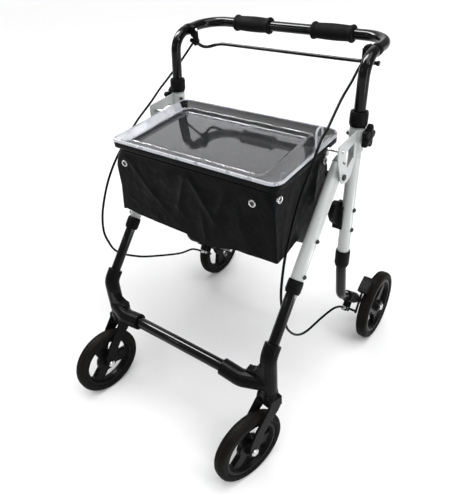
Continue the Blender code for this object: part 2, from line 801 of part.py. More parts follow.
def make_fold_pivot(side, sign):
    """The bolt that the front leg turns on, with a head outside the plate and a nut inside the leg."""
    pivot = fold_pivot_point(sign)
    inside = LEG_X - LEG_RADIUS - GAP
    outside = BRACKET_X + BRACKET_THICKNESS + GAP
    profile = (
        (0.0, inside - 0.0035),
        (FOLD_PIVOT_HEAD, inside - 0.0035),
        (FOLD_PIVOT_HEAD, inside),
        (FOLD_PIVOT_RADIUS, inside),
        (FOLD_PIVOT_RADIUS, outside),
        (FOLD_PIVOT_HEAD, outside),
        (FOLD_PIVOT_HEAD, outside + 0.003),
        (FOLD_PIVOT_HEAD - 0.0015, outside + 0.0042),
        (0.0, outside + 0.0042),
    )
    start = Vector((0, pivot.y, pivot.z))
    return dressed(turned(f"fold_pivot_{side}", profile, start, X_AXIS * sign, BOLT_SIDES), dark_steel())


# Rear brakes


def side_strip(name, sign, start, end, half_width, low_x, high_x):
    """A straight strip across the X axis between two (reach, drop) points beside the rear tube."""
    first = rear_run_at(sign, *start)
    last = rear_run_at(sign, *end)
    across = (last - first).cross(X_AXIS).normalized() * half_width
    corners = (first + across, last + across, last - across, first - across)
    return prism(name, [(corner.y, corner.z) for corner in corners], "X", sign * low_x, sign * high_x)


def make_brake_bracket(side, sign):
    """A sleeve on the rear tube with the shoe's pin outside it and two ears for the cable adjuster below."""
    near, far = rear_run_at(sign, BRAKE_SLEEVE_NEAR), rear_run_at(sign, BRAKE_SLEEVE_FAR)
    body = rod(f"brake_bracket_{side}", near, far, BRAKE_SLEEVE_RADIUS)
    shoulder = SHOE_ARM_X - GAP - REAR_TUBE_X
    past = SHOE_ARM_X + SHOE_ARM_THICKNESS + GAP - REAR_TUBE_X
    profile = (
        (0.0, 0.0),
        (SHOE_PIN_HEAD, 0.0),
        (SHOE_PIN_HEAD, shoulder),
        (SHOE_PIN_RADIUS, shoulder),
        (SHOE_PIN_RADIUS, past),
        (SHOE_PIN_HEAD, past),
        (SHOE_PIN_HEAD, past + 0.002),
        (0.0, past + 0.002),
    )
    pin = turned("pin", profile, shoe_pivot_point(sign), X_AXIS * sign)
    low_x, high_x = ADJUSTER_X - EAR_HALF_WIDTH, ADJUSTER_X + EAR_HALF_WIDTH
    half = EAR_THICKNESS / 2
    ears = [
        side_strip("ear", sign, (reach, 0.0), (reach, EAR_DEPTH), half, low_x, high_x)
        for reach in EAR_REACHES
    ]
    along = (far - near).normalized() * 0.02
    bore = rod("bore", near - along, far + along, INNER_TUBE_RADIUS + SLEEVE_FIT)
    back = rear_run_at(sign, ADJUSTER_BACK, ADJUSTER_DROP, ADJUSTER_X)
    front = rear_run_at(sign, ADJUSTER_FRONT, ADJUSTER_DROP, ADJUSTER_X)
    barrel_hole = rod("barrel_hole", back, front, ADJUSTER_RADIUS + RUNNING)
    return dressed(cut(joined(body, pin, *ears), bore, barrel_hole), black_plastic())


def make_cable_adjuster(side, sign):
    """A threaded barrel in the ears, with a ferrule for the cable and a locknut between the ears."""
    nearer, farther = EAR_REACHES
    length = ADJUSTER_FRONT - ADJUSTER_BACK
    ferrule = ADJUSTER_FRONT - farther - EAR_THICKNESS / 2 - GAP
    nut = ADJUSTER_FRONT - farther + EAR_THICKNESS / 2 + GAP
    profile = (
        (WIRE_BORE, 0.0),
        (0.0042, 0.0),
        (0.0046, 0.001),
        (0.0046, ferrule),
        (ADJUSTER_RADIUS, ferrule),
        (ADJUSTER_RADIUS, nut),
        (0.0055, nut),
        (0.0055, nut + 0.005),
        (ADJUSTER_RADIUS, nut + 0.005),
        (ADJUSTER_RADIUS, length),
        (WIRE_BORE, length),
    )
    front = rear_run_at(sign, ADJUSTER_FRONT, ADJUSTER_DROP, ADJUSTER_X)
    back = rear_run_at(sign, ADJUSTER_BACK, ADJUSTER_DROP, ADJUSTER_X)
    return dressed(turned(f"cable_adjuster_{side}", profile, front, back - front, BOLT_SIDES), steel())


def make_brake_shoe(side, sign):
    """A block over the tread on a bell crank, which turns on its pin when the cable pulls its tail."""
    centre = (REAR_AXLE_Y, REAR_WHEEL_RADIUS)
    face = REAR_WHEEL_RADIUS / math.cos(math.pi / WHEEL_SIDES) + SHOE_GAP
    inner = arc(centre, face, SHOE_START, SHOE_END, 4)
    outer = arc(centre, face + SHOE_DEPTH, SHOE_END, SHOE_START, 4)
    pad = prism(f"brake_shoe_{side}", inner + outer, "X", sign * SHOE_INNER_X, sign * SHOE_OUTER_X)
    arm_face = face + SHOE_ARM_LIFT
    arm_start = SHOE_END - 6
    inner = arc(centre, arm_face, arm_start, SHOE_ARM_END, 3)
    outer = arc(centre, arm_face + SHOE_ARM_DEPTH, SHOE_ARM_END, arm_start, 3)
    arm_x = SHOE_ARM_X + SHOE_ARM_THICKNESS
    arm = prism("arm", inner + outer, "X", sign * SHOE_ARM_X, sign * arm_x)
    root, tip = (SHOE_PIVOT_REACH, 0.0), (SHOE_TAIL_REACH, ADJUSTER_DROP + SHOE_TAIL_RADIUS)
    tail = side_strip("tail", sign, root, tip, SHOE_TAIL_RADIUS, SHOE_ARM_X, arm_x)
    anchor_start = rear_run_at(sign, SHOE_TAIL_REACH, ADJUSTER_DROP, SHOE_ANCHOR_X)
    anchor_end = rear_run_at(sign, SHOE_TAIL_REACH, ADJUSTER_DROP, SHOE_ARM_X + 0.001)
    anchor = rod("anchor", anchor_start, anchor_end, SHOE_ANCHOR_RADIUS)
    pivot = shoe_pivot_point(sign)
    reach = X_AXIS * 0.06
    hole = rod("pin_hole", pivot - reach, pivot + reach, SHOE_PIN_RADIUS + RUNNING)
    return dressed(cut(joined(pad, arm, tail, anchor), hole), black_plastic())


# Front frame


def make_front_leg(side, sign):
    bottom, top = leg_at(sign, LEG_BOTTOM), leg_at(sign, LEG_TOP)
    bore = INNER_TUBE_RADIUS + SLEEVE_FIT
    made = swept(f"front_leg_{side}", [bottom, top], LEG_RADIUS, wall=LEG_RADIUS - bore)
    pivot = fold_pivot_point(sign)
    reach = X_AXIS * 2 * LEG_RADIUS
    hole = rod("pivot_hole", pivot - reach, pivot + reach, FOLD_PIVOT_RADIUS + RUNNING)
    return dressed(cut(made, hole), white_paint())


def make_front_collar(side, sign):
    bottom, top = leg_at(sign, FRONT_COLLAR_BOTTOM), leg_at(sign, FRONT_COLLAR_TOP)
    seat = (leg_at(sign, LEG_BOTTOM) - bottom).length - GAP
    steps = ((0.0, INNER_TUBE_RADIUS + SLEEVE_FIT), (seat, LEG_RADIUS + SLEEVE_FIT))
    return dressed(sleeve(f"front_collar_{side}", bottom, top, COLLAR_RADIUS, steps), black_plastic())


def make_front_tube(side, sign):
    ends = [leg_at(sign, FRONT_TUBE_BOTTOM), leg_at(sign, FRONT_TUBE_TOP)]
    return dressed(swept(f"front_tube_{side}", ends, INNER_TUBE_RADIUS, wall=TUBE_WALL), black_paint())


def make_corner_casting(side, sign):
    """A moulded elbow that takes the leg, the cross tube and the caster's stem."""
    corner_height = LEG_Y_HEIGHT + (STEM_Y - LEG_Y) / LEG_SLOPE
    corner = Vector((sign * LEG_X, STEM_Y, corner_height))
    foot = Vector((sign * LEG_X, STEM_Y, CASTING_BOTTOM))
    top = leg_at(sign, CASTING_TOP)
    body = swept(f"corner_casting_{side}", filleted([top, corner, foot], [CASTING_BEND]), CASTING_RADIUS)
    arm_height = CROSS_TUBE_HEIGHT
    arm_corners = (
        (sign * (LEG_X - 0.004), STEM_Y - 0.002, arm_height - CASTING_ARM_DROP),
        (sign * CASTING_SWEEP_X, CROSS_TUBE_Y, arm_height - CASTING_ARM_DROP),
        (sign * CASTING_ARM_END, CROSS_TUBE_Y, arm_height),
    )
    arm = swept("arm", filleted(arm_corners, [CASTING_BEND]), CASTING_ARM_RADIUS)
    web_y = (STEM_Y + CROSS_TUBE_Y) / 2 + 0.004
    inside = LEG_X - CASTING_RADIUS
    crown = arm_height + CASTING_ARM_RADIUS
    curve = arc((inside - 0.028, crown + 0.028), 0.0285, 0, -90, 5)
    web_outline = [(LEG_X, crown + 0.028), *curve, (inside - 0.028, arm_height), (LEG_X, arm_height)]
    web_outline = [(sign * x, z) for x, z in web_outline]
    web = prism("web", web_outline, "Y", web_y - 0.009, web_y + 0.009)
    beyond = (top - corner).normalized() * 0.02
    bore_end = leg_at(sign, FRONT_TUBE_BOTTOM) - beyond * 0.015
    leg_bore = rod("leg_bore", bore_end, top + beyond, INNER_TUBE_RADIUS + SLEEVE_FIT)
    stem_top = Vector((foot.x, foot.y, STEM_TOP + 0.001))
    stem_bore = rod("stem_bore", foot - Z_AXIS * 0.01, stem_top, STEM_RADIUS + RUNNING)
    socket = Vector((sign * (CROSS_TUBE_HALF + GAP), CROSS_TUBE_Y, arm_height))
    mouth = Vector((sign * (CASTING_ARM_END - 0.01), CROSS_TUBE_Y, arm_height))
    cross_bore = rod("cross_bore", mouth, socket, CROSS_TUBE_RADIUS + SLEEVE_FIT)
    return dressed(cut(joined(body, arm, web), leg_bore, stem_bore, cross_bore), gloss_plastic())


def make_front_crossbar():
    ends = [Vector((sign * CROSS_TUBE_HALF, CROSS_TUBE_Y, CROSS_TUBE_HEIGHT)) for _, sign in SIDES]
    return dressed(swept("front_crossbar", ends, CROSS_TUBE_RADIUS, wall=TUBE_WALL), black_paint())


# Casters and wheels


def placed_caster(made, side, sign):
    """Turns a piece built round a stem at x = y = 0 to the caster's swing and moves it to its stem."""
    made.data.transform(caster_turn(side).to_4x4())
    made.data.transform(Matrix.Translation((sign * LEG_X, STEM_Y, 0)))
    return made


def fork_outline():
    foot = arc((-CASTER_TRAIL, FRONT_WHEEL_RADIUS), FORK_FOOT_RADIUS, 180, 360, 8)
    back = [
        (-0.0430, 0.108),
        (-0.0210, 0.138),
        (0.0040, 0.159),
        (FORK_CROWN_HALF, FORK_CROWN_BOTTOM + 0.004),
        (FORK_CROWN_HALF, FORK_CROWN_SHOULDER),
    ]
    front = [
        (-FORK_CROWN_HALF, FORK_CROWN_SHOULDER),
        (-FORK_CROWN_HALF - 0.003, 0.184),
        (-0.0370, 0.160),
        (-0.0580, 0.132),
        (-0.0720, 0.108),
    ]
    return foot + back + front


def make_caster_fork(side, sign):
    half = FORK_GAP / 2
    outside = half + FORK_ARM
    top = CASTING_BOTTOM - GAP
    arms = [prism("arm", fork_outline(), "X", at * half, at * outside) for at in (-1, 1)]
    crown = box(
        f"caster_fork_{side}",
        (-outside, -FORK_CROWN_HALF, FORK_CROWN_BOTTOM),
        (outside, FORK_CROWN_HALF, FORK_CROWN_SHOULDER),
    )
    plate = rod("plate", (0, 0, FORK_CROWN_BOTTOM + 0.004), (0, 0, top), CASTING_RADIUS + 0.001, 20)
    stem = rod("stem", (0, 0, FORK_CROWN_BOTTOM + 0.006), (0, 0, STEM_TOP), STEM_RADIUS)
    axle_y = -CASTER_TRAIL
    ends = [(x, axle_y, FRONT_WHEEL_RADIUS) for x in (-FORK_HOLE_REACH, FORK_HOLE_REACH)]
    hole = rod("hole", *ends, AXLE_RADIUS + RUNNING)
    made = cut(joined(crown, *arms, plate, stem), hole)
    return dressed(placed_caster(made, side, sign), gloss_plastic())


def make_front_axle(side, sign):
    """A bolt with a domed head towards +X and a nut on the other arm."""
    outside = FORK_GAP / 2 + FORK_ARM + GAP
    dome = [(0.0085 * math.cos(a), outside + 0.0012 + 0.0038 * math.sin(a)) for a in (0.0, 0.5, 1.0)]
    profile = (
        (0.0, -outside - 0.005),
        (0.0070, -outside - 0.005),
        (0.0070, -outside),
        (AXLE_RADIUS, -outside),
        (AXLE_RADIUS, outside),
        (0.0085, outside),
        *dome,
        (0.0, outside + 0.005),
    )
    made = turned(f"front_axle_{side}", profile, (0, -CASTER_TRAIL, FRONT_WHEEL_RADIUS), X_AXIS, BOLT_SIDES)
    return dressed(placed_caster(made, side, sign), steel())


def window_outline(index, rim_inside, start):
    """One gap between two spokes: straight sides along the spokes and arcs inside and outside."""
    turn = 360.0 / WINDOW_COUNT
    middle = start + turn * index
    half_outer = turn / 2 - math.degrees(math.asin(SPOKE_WIDTH / 2 / rim_inside))
    half_inner = turn / 2 - math.degrees(math.asin(SPOKE_WIDTH / 2 / WINDOW_INNER))
    outer = arc((0, 0), rim_inside, middle - half_outer, middle + half_outer, 9)
    inner = arc((0, 0), WINDOW_INNER, middle + half_inner, middle - half_inner, 4)
    return outer + inner


def make_wheel(name, radius, hub_half, turn):
    """A moulded wheel about the X axis, centred on the origin and turned to show its openings as seen."""
    rim_outside = radius - TYRE_DEPTH - GAP
    rim_inside = radius - TYRE_DEPTH - RIM_DEPTH
    half_rim, half_web = RIM_WIDTH / 2, SPOKE_WEB / 2
    profile = (
        (0.0, -hub_half),
        (HUB_RADIUS - 0.001, -hub_half),
        (HUB_RADIUS + 0.002, -half_web),
        (rim_inside + 0.001, -half_web),
        (rim_inside + 0.003, -half_rim),
        (rim_outside, -half_rim),
        (rim_outside, half_rim),
        (rim_inside + 0.003, half_rim),
        (rim_inside + 0.001, half_web),
        (HUB_RADIUS + 0.002, half_web),
        (HUB_RADIUS - 0.001, hub_half),
        (0.0, hub_half),
    )
    made = turned(name, profile, (0, 0, 0), X_AXIS, WHEEL_SIDES)
    outlines = [window_outline(index, rim_inside, turn) for index in range(WINDOW_COUNT)]
    windows = [prism("window", outline, "X", -0.02, 0.02) for outline in outlines]
    bore = rod("bore", (-0.03, 0, 0), (0.03, 0, 0), AXLE_RADIUS + RUNNING)
    return dressed(cut(made, *windows, bore), gloss_plastic())


def make_tyre(name, radius):
    """A solid tyre about the X axis, with a flat facet under it at the floor."""
    outside = radius / math.cos(math.pi / WHEEL_SIDES)
    inside = radius - TYRE_DEPTH
    half = TYRE_WIDTH / 2
    profile = (
        (inside, -half + 0.0010),
        (outside - TREAD_CROWN - 0.003, -half),
        (outside - TREAD_CROWN / 3, -half + 0.0040),
        (outside, -TREAD_HALF),
        (outside, TREAD_HALF),
        (outside - TREAD_CROWN / 3, half - 0.0040),
        (outside - TREAD_CROWN - 0.003, half),
        (inside, half - 0.0010),
    )
    return dressed(turned(name, profile, (0, 0, 0), X_AXIS, WHEEL_SIDES), tyre_rubber())


def make_front_wheel(side, sign):
    radius = FRONT_WHEEL_RADIUS
    wheel = make_wheel(f"front_wheel_{side}", radius, FRONT_HUB_HALF, FRONT_WHEEL_TURN[side])
    for made in (wheel, make_tyre(f"front_tyre_{side}", radius)):
        made.data.transform(Matrix.Translation((0, -CASTER_TRAIL, radius)))
        placed_caster(made, side, sign)


def make_rear_wheel(side, sign):
    radius = REAR_WHEEL_RADIUS
    wheel = make_wheel(f"rear_wheel_{side}", radius, REAR_HUB_HALF, REAR_WHEEL_TURN[side])
    for made in (wheel, make_tyre(f"rear_tyre_{side}", radius)):
        made.data.transform(Matrix.Translation((sign * REAR_WHEEL_X, REAR_AXLE_Y, radius)))


# Handle and its brake bar


def make_handle_tube():
    corners, radii = [], []
    for sign in (1, -1):
        top_corner = upright_at(sign, HANDLE_HEIGHT)
        rear_corner = Vector((sign * UPRIGHT_X, HANDLE_Y, HANDLE_HEIGHT))
        run = [upright_at(sign, HANDLE_BOTTOM), top_corner, rear_corner]
        bends = [HANDLE_FRONT_BEND, HANDLE_CORNER_BEND]
        corners += run if sign > 0 else run[::-1]
        radii += bends if sign > 0 else bends[::-1]
    tube = swept("handle_tube", filleted(corners, radii), INNER_TUBE_RADIUS, wall=TUBE_WALL)
    return dressed(tube, black_paint())


def make_grip(side, sign):
    bore = INNER_TUBE_RADIUS + SLEEVE_FIT
    length = GRIP_OUTER - GRIP_INNER
    flare = ((GRIP_FLARE - 0.002, 0.0), (GRIP_FLARE, 0.003), (GRIP_FLARE, 0.008), (GRIP_RADIUS, 0.013))
    mirrored = [(radius, length - along) for radius, along in reversed(flare)]
    profile = [(bore, 0.0), *flare, *mirrored, (bore, length)]
    start = Vector((sign * GRIP_INNER, HANDLE_Y, HANDLE_HEIGHT))
    return dressed(turned(f"grip_{side}", profile, start, X_AXIS * sign, 20), grip_foam())


def make_brake_pivot(side, sign):
    """A clamp on the handle's side run, with a block below it that the brake bar turns in."""
    half = BAR_BLOCK_DEPTH / 2
    tube_x = sign * UPRIGHT_X
    start = Vector((tube_x, BAR_PIVOT_Y - half, HANDLE_HEIGHT))
    end = Vector((tube_x, BAR_PIVOT_Y + half, HANDLE_HEIGHT))
    ring = rod(f"brake_pivot_{side}", start, end, BAR_RING_RADIUS)
    strap_half = half - 0.0005
    low = (sign * BAR_STRAP_INNER, BAR_PIVOT_Y - strap_half, BAR_BLOCK_BOTTOM)
    high = (sign * BAR_STRAP_OUTER, BAR_PIVOT_Y + strap_half, BAR_STRAP_TOP)
    strap = box("strap", low, high)
    low = (sign * (BAR_STRAP_OUTER - 0.002), BAR_PIVOT_Y - half + 0.001, BAR_BLOCK_BOTTOM + 0.001)
    high = (sign * BAR_BLOCK_OUTER, BAR_PIVOT_Y + half - 0.001, HANDLE_HEIGHT - INNER_TUBE_RADIUS - 0.0015)
    block = box("block", low, high)
    bore = rod("bore", start - Y_AXIS * 0.01, end + Y_AXIS * 0.01, INNER_TUBE_RADIUS + SLEEVE_FIT)
    pivot = Vector((sign * BAR_STRAP_INNER, BAR_PIVOT_Y, BAR_PIVOT_HEIGHT))
    across = X_AXIS * sign
    hole = rod("hole", pivot - across * 0.01, pivot + across * 0.05, BAR_RADIUS + RUNNING)
    return dressed(cut(joined(ring, strap, block), bore, hole), black_plastic())


def make_brake_bar():
    corners, radii = [], []
    for sign in (1, -1):
        run = [
            (sign * BAR_PIN_X, BAR_PIVOT_Y, BAR_PIVOT_HEIGHT),
            (sign * BAR_X, BAR_PIVOT_Y, BAR_PIVOT_HEIGHT),
            (sign * BAR_X, BAR_Y, BAR_HEIGHT),
        ]
        bends = [BAR_ELBOW, BAR_CORNER]
        corners += run if sign > 0 else run[::-1]
        radii += bends if sign > 0 else bends[::-1]
    path = filleted(corners, radii, math.radians(22))
    return dressed(swept("brake_bar", path, BAR_RADIUS, resolution=3), black_paint())


def make_height_knob(side, sign):
    """A star knob whose screw goes through the upright and presses on the handle's tube."""
    centre = knob_point(sign)
    count = 6 * KNOB_LOBES
    outline = []
    for index in range(count):
        angle = math.tau * index / count
        radius = KNOB_RADIUS + KNOB_LOBE * math.cos(KNOB_LOBES * angle)
        outline.append((centre.y + radius * math.cos(angle), centre.z + radius * math.sin(angle)))
    star = prism(f"height_knob_{side}", outline, "X", sign * KNOB_INNER_X, sign * KNOB_OUTER_X)
    tip = UPRIGHT_X + INNER_TUBE_RADIUS + GAP
    neck = UPRIGHT_X + BRACKET_SLEEVE_RADIUS + GAP
    profile = (
        (0.0, tip),
        (KNOB_SCREW_RADIUS, tip),
        (KNOB_SCREW_RADIUS, neck),
        (KNOB_NECK_RADIUS, neck),
        (KNOB_NECK_RADIUS + 0.002, KNOB_INNER_X + 0.002),
        (KNOB_NECK_RADIUS + 0.002, KNOB_OUTER_X + 0.0015),
        (0.0, KNOB_OUTER_X + 0.0015),
    )
    stalk = turned("stalk", profile, (0, centre.y, centre.z), X_AXIS * sign)
    return dressed(joined(star, stalk), black_plastic())


# Brake cables


def make_brake_cable(side, sign):
    block_front = BAR_PIVOT_Y - BAR_BLOCK_DEPTH / 2
    start = (sign * CABLE_START_X, block_front - CABLE_SEAT, CABLE_START_HEIGHT)
    middle = [(sign * x, y, z) for x, y, z in CABLE_ROUTES[side]]
    end = rear_run_at(sign, ADJUSTER_FRONT + CABLE_SEAT, ADJUSTER_DROP, ADJUSTER_X)
    points = smooth_route([start, *middle, end], CABLE_POINTS)
    return dressed(swept(f"brake_cable_{side}", points, CABLE_RADIUS, resolution=2), cable_skin(), sharp=60)


# Bag and tray


def bag_ring(height, inset):
    """The bag's outline at a height, drawn in by a wall."""
    share = (height - BAG_BOTTOM) / (BAG_TOP - BAG_BOTTOM)
    half = BAG_HALF_BOTTOM + (BAG_HALF_TOP - BAG_HALF_BOTTOM) * share - inset
    low = (-half, BAG_FRONT + inset)
    high = (half, BAG_BACK - inset)
    return [(x, y, height) for x, y in rounded_rectangle(low, high, BAG_CORNER - inset, 3)]


def make_bag():
    """A fabric bag, open at the top."""
    outside = loft("bag", [bag_ring(BAG_BOTTOM, 0.0), bag_ring(BAG_TOP, 0.0)])
    inside = loft("inside", [bag_ring(BAG_BOTTOM + BAG_WALL, BAG_WALL), bag_ring(BAG_TOP + 0.01, BAG_WALL)])
    return dressed(cut(outside, inside), bag_fabric())


def make_bag_frame():
    """The wire hoop that the bag hangs from and the tray lies on."""
    outline = rounded_rectangle((-WIRE_HALF, WIRE_FRONT), (WIRE_HALF, WIRE_BACK), WIRE_CORNER)
    points = [(x, y, WIRE_HEIGHT) for x, y in outline]
    return dressed(swept("bag_frame", points, WIRE_RADIUS, resolution=3, cyclic=True), dark_steel())


def make_hanger_pin(side, sign):
    """A bent rod from the bag's hoop, over the leg's end, into the fold bracket's hole."""
    corners = (
        (sign * PIN_OUTER, PIN_Y, PIN_HEIGHT),
        (sign * PIN_DROP_X, PIN_Y, PIN_HEIGHT),
        (sign * PIN_DROP_X, PIN_Y, WIRE_HEIGHT),
        (sign * (WIRE_HALF + WIRE_RADIUS + GAP), PIN_Y, WIRE_HEIGHT),
    )
    path = filleted(corners, [PIN_BEND, PIN_BEND], math.radians(30))
    return dressed(swept(f"hanger_pin_{side}", path, PIN_RADIUS, resolution=3), steel())


def tray_ring(height, side, front, back, corner):
    low = (-TRAY_HALF + side, TRAY_FRONT + front)
    high = (TRAY_HALF - side, TRAY_BACK - back)
    return [(x, y, height) for x, y in rounded_rectangle(low, high, corner)]


def make_tray():
    """A clear tray: a wide flat rim, a sloped step down to a sunken panel, and a skirt all round."""
    skirt = TRAY_SKIRT
    edge = 0.0015
    rings = [
        tray_ring(TRAY_BOTTOM, 0.0, 0.0, 0.0, TRAY_CORNER),
        tray_ring(TRAY_TOP - edge, 0.0, 0.0, 0.0, TRAY_CORNER),
        tray_ring(TRAY_TOP, edge, edge, edge, TRAY_CORNER - edge),
    ]
    body = loft("tray", rings)
    bands = (TRAY_SIDE_BAND, TRAY_FRONT_BAND, TRAY_BACK_BAND)
    slope = 0.006
    well = loft(
        "well",
        [
            tray_ring(TRAY_PANEL_TOP, *[band + slope for band in bands], TRAY_PANEL_CORNER),
            tray_ring(TRAY_TOP + slope / 2, *bands, TRAY_PANEL_CORNER),
        ],
    )
    under = loft(
        "under",
        [
            tray_ring(TRAY_BOTTOM - 0.01, skirt, skirt, skirt, TRAY_CORNER - skirt),
            tray_ring(TRAY_PANEL_BOTTOM, skirt, skirt, skirt, TRAY_CORNER - skirt),
        ],
    )
    tray = cut(body, well, under)
    feet = []
    for _, sign in SIDES:
        for y in TRAY_FEET_Y:
            low = (sign * (WIRE_HALF - TRAY_FOOT / 2), y, TRAY_BOTTOM)
            high = (sign * (WIRE_HALF + TRAY_FOOT / 2), y + TRAY_FOOT, TRAY_PANEL_BOTTOM + 0.001)
            feet.append(box("foot", low, high))
    return dressed(joined(tray, *feet), clear_acrylic())


# Joint axes


def axis_empty(name, place, parent=None):
    """An unrotated empty on a joint's axis."""
    made = bpy.data.objects.new(name, None)
    made.empty_display_size = 0.03
    made.location = Vector(place) - (world_place(parent) if parent else Vector())
    made.parent = parent
    bpy.context.scene.collection.objects.link(made)
    return made


def centre_shift():
    """How far the whole object moves along Y, so that its front and back are equally far from the origin."""
    back = REAR_AXLE_Y + REAR_WHEEL_RADIUS
    fronts = []
    for side, sign in SIDES:
        swing = math.radians(CASTER_SWING[side])
        ahead = FRONT_WHEEL_RADIUS * math.cos(swing) + TREAD_HALF * math.sin(swing)
        fronts.append(front_wheel_centre(side, sign).y - ahead)
    return -(back + min(fronts)) / 2


def world_place(empty):
    place = Vector()
    while empty:
        place += empty.location
        empty = empty.parent
    return place


def hang(empty, *names):
    """Parents pieces to an empty and moves their origins onto it."""
    place = world_place(empty)
    for name in names:
        piece = bpy.data.objects[name]
        piece.data.transform(Matrix.Translation(-place))
        piece.parent = empty


def hang_moving_pieces():
    fold = axis_empty("fold_axis", fold_pivot_point(0))
    handle = axis_empty("handle_slide", upright_at(0, HEIGHT_COLLAR_TOP))
    brake = axis_empty("brake_bar_axis", (0, BAR_PIVOT_Y, BAR_PIVOT_HEIGHT), handle)
    bag = axis_empty("bag_axis", (0, PIN_Y, PIN_HEIGHT))
    tray = axis_empty("tray_lift", (0, PIN_Y, TRAY_BOTTOM), bag)
    hang(fold, "front_crossbar")
    hang(handle, "handle_tube")
    hang(brake, "brake_bar")
    hang(bag, "bag", "bag_frame")
    hang(tray, "tray")
    for side, sign in SIDES:
        legs = ("front_leg", "front_collar", "front_tube", "corner_casting")
        hang(fold, *[f"{piece}_{side}" for piece in legs])
        hang(handle, f"grip_{side}", f"brake_pivot_{side}")
        hang(bag, f"hanger_pin_{side}")
        stem = axis_empty(f"caster_axis_{side}", stem_point(sign), fold)
        hang(stem, f"caster_fork_{side}", f"front_axle_{side}")
        front = axis_empty(f"front_wheel_axis_{side}", front_wheel_centre(side, sign), stem)
        hang(front, f"front_wheel_{side}", f"front_tyre_{side}")
        rear_centre = (sign * REAR_WHEEL_X, REAR_AXLE_Y, REAR_WHEEL_RADIUS)
        rear = axis_empty(f"rear_wheel_axis_{side}", rear_centre)
        hang(rear, f"rear_wheel_{side}", f"rear_tyre_{side}")
        hang(axis_empty(f"brake_shoe_axis_{side}", shoe_pivot_point(sign)), f"brake_shoe_{side}")
        hang(axis_empty(f"knob_axis_{side}", knob_point(sign)), f"height_knob_{side}")


PAIRED = (
    make_upright,
    make_height_collar,
    make_rear_collar,
    make_rear_tube,
    make_rear_axle,
    make_crossbar_clamp,
    make_fold_bracket,
    make_fold_pivot,
    make_brake_bracket,
    make_cable_adjuster,
    make_brake_shoe,
    make_front_leg,
    make_front_collar,
    make_front_tube,
    make_corner_casting,
    make_caster_fork,
    make_front_axle,
    make_front_wheel,
    make_rear_wheel,
    make_grip,
    make_brake_pivot,
    make_height_knob,
    make_brake_cable,
    make_hanger_pin,
)
SINGLE = (
    make_rear_crossbar,
    make_front_crossbar,
    make_handle_tube,
    make_brake_bar,
    make_bag,
    make_bag_frame,
    make_tray,
)


def main():
    for old in list(bpy.data.objects):
        bpy.data.objects.remove(old)
    for make in PAIRED:
        for side, sign in SIDES:
            make(side, sign)
    for make in SINGLE:
        make()
    hang_moving_pieces()
    for placed in bpy.data.objects:
        if not placed.parent:
            placed.location.y += centre_shift()


main()
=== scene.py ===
"""The look of a folding rollator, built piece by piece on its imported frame.

Metres, +Z up, casters towards -Y. The file is laid out as an add-on and run as a script: the frame is
loaded first, each operator builds one kind of piece on it, and main calls them in order.
"""

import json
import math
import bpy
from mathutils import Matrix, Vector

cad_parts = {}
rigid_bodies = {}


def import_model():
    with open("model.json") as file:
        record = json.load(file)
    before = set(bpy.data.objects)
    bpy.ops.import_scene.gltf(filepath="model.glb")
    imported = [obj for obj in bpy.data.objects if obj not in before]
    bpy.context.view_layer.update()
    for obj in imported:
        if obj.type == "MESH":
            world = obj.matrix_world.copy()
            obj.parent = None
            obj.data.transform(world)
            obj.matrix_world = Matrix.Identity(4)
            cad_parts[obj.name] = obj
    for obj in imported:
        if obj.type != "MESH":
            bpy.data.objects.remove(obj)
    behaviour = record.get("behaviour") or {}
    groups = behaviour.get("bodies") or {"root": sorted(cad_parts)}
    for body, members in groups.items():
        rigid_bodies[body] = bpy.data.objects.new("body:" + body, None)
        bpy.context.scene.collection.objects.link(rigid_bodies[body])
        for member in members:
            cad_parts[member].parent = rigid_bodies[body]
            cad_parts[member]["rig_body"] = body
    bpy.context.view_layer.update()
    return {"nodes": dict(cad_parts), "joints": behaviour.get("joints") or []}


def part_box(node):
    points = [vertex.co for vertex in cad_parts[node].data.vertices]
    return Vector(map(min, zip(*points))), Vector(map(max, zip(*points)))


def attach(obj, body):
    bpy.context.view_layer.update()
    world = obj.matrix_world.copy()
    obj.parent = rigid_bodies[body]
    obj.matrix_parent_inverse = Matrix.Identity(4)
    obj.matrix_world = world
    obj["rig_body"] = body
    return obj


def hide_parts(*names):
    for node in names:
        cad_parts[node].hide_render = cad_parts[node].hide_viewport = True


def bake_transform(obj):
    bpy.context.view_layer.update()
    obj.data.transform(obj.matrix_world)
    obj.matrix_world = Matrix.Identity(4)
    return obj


bl_info = {
    "name": "Folding rollator",
    "version": (1, 0, 0),
    "blender": (4, 5, 0),
    "location": "3D View > Sidebar > Rollator",
    "description": "Builds the visible pieces of a folding rollator on its packed frame",
    "category": "Object",
}

import bmesh
import bpy
from mathutils import Matrix, Vector, noise

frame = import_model()

# The part's own sizes, in metres. Its script measured y from another origin, so at() shifts each point.
SHIFT_Y = -0.003092
SIDES = (("left", -1), ("right", 1))
X_AXIS = Vector((1, 0, 0))
Y_AXIS = Vector((0, 1, 0))
Z_AXIS = Vector((0, 0, 1))
ORIGIN = Vector((0, 0, 0))

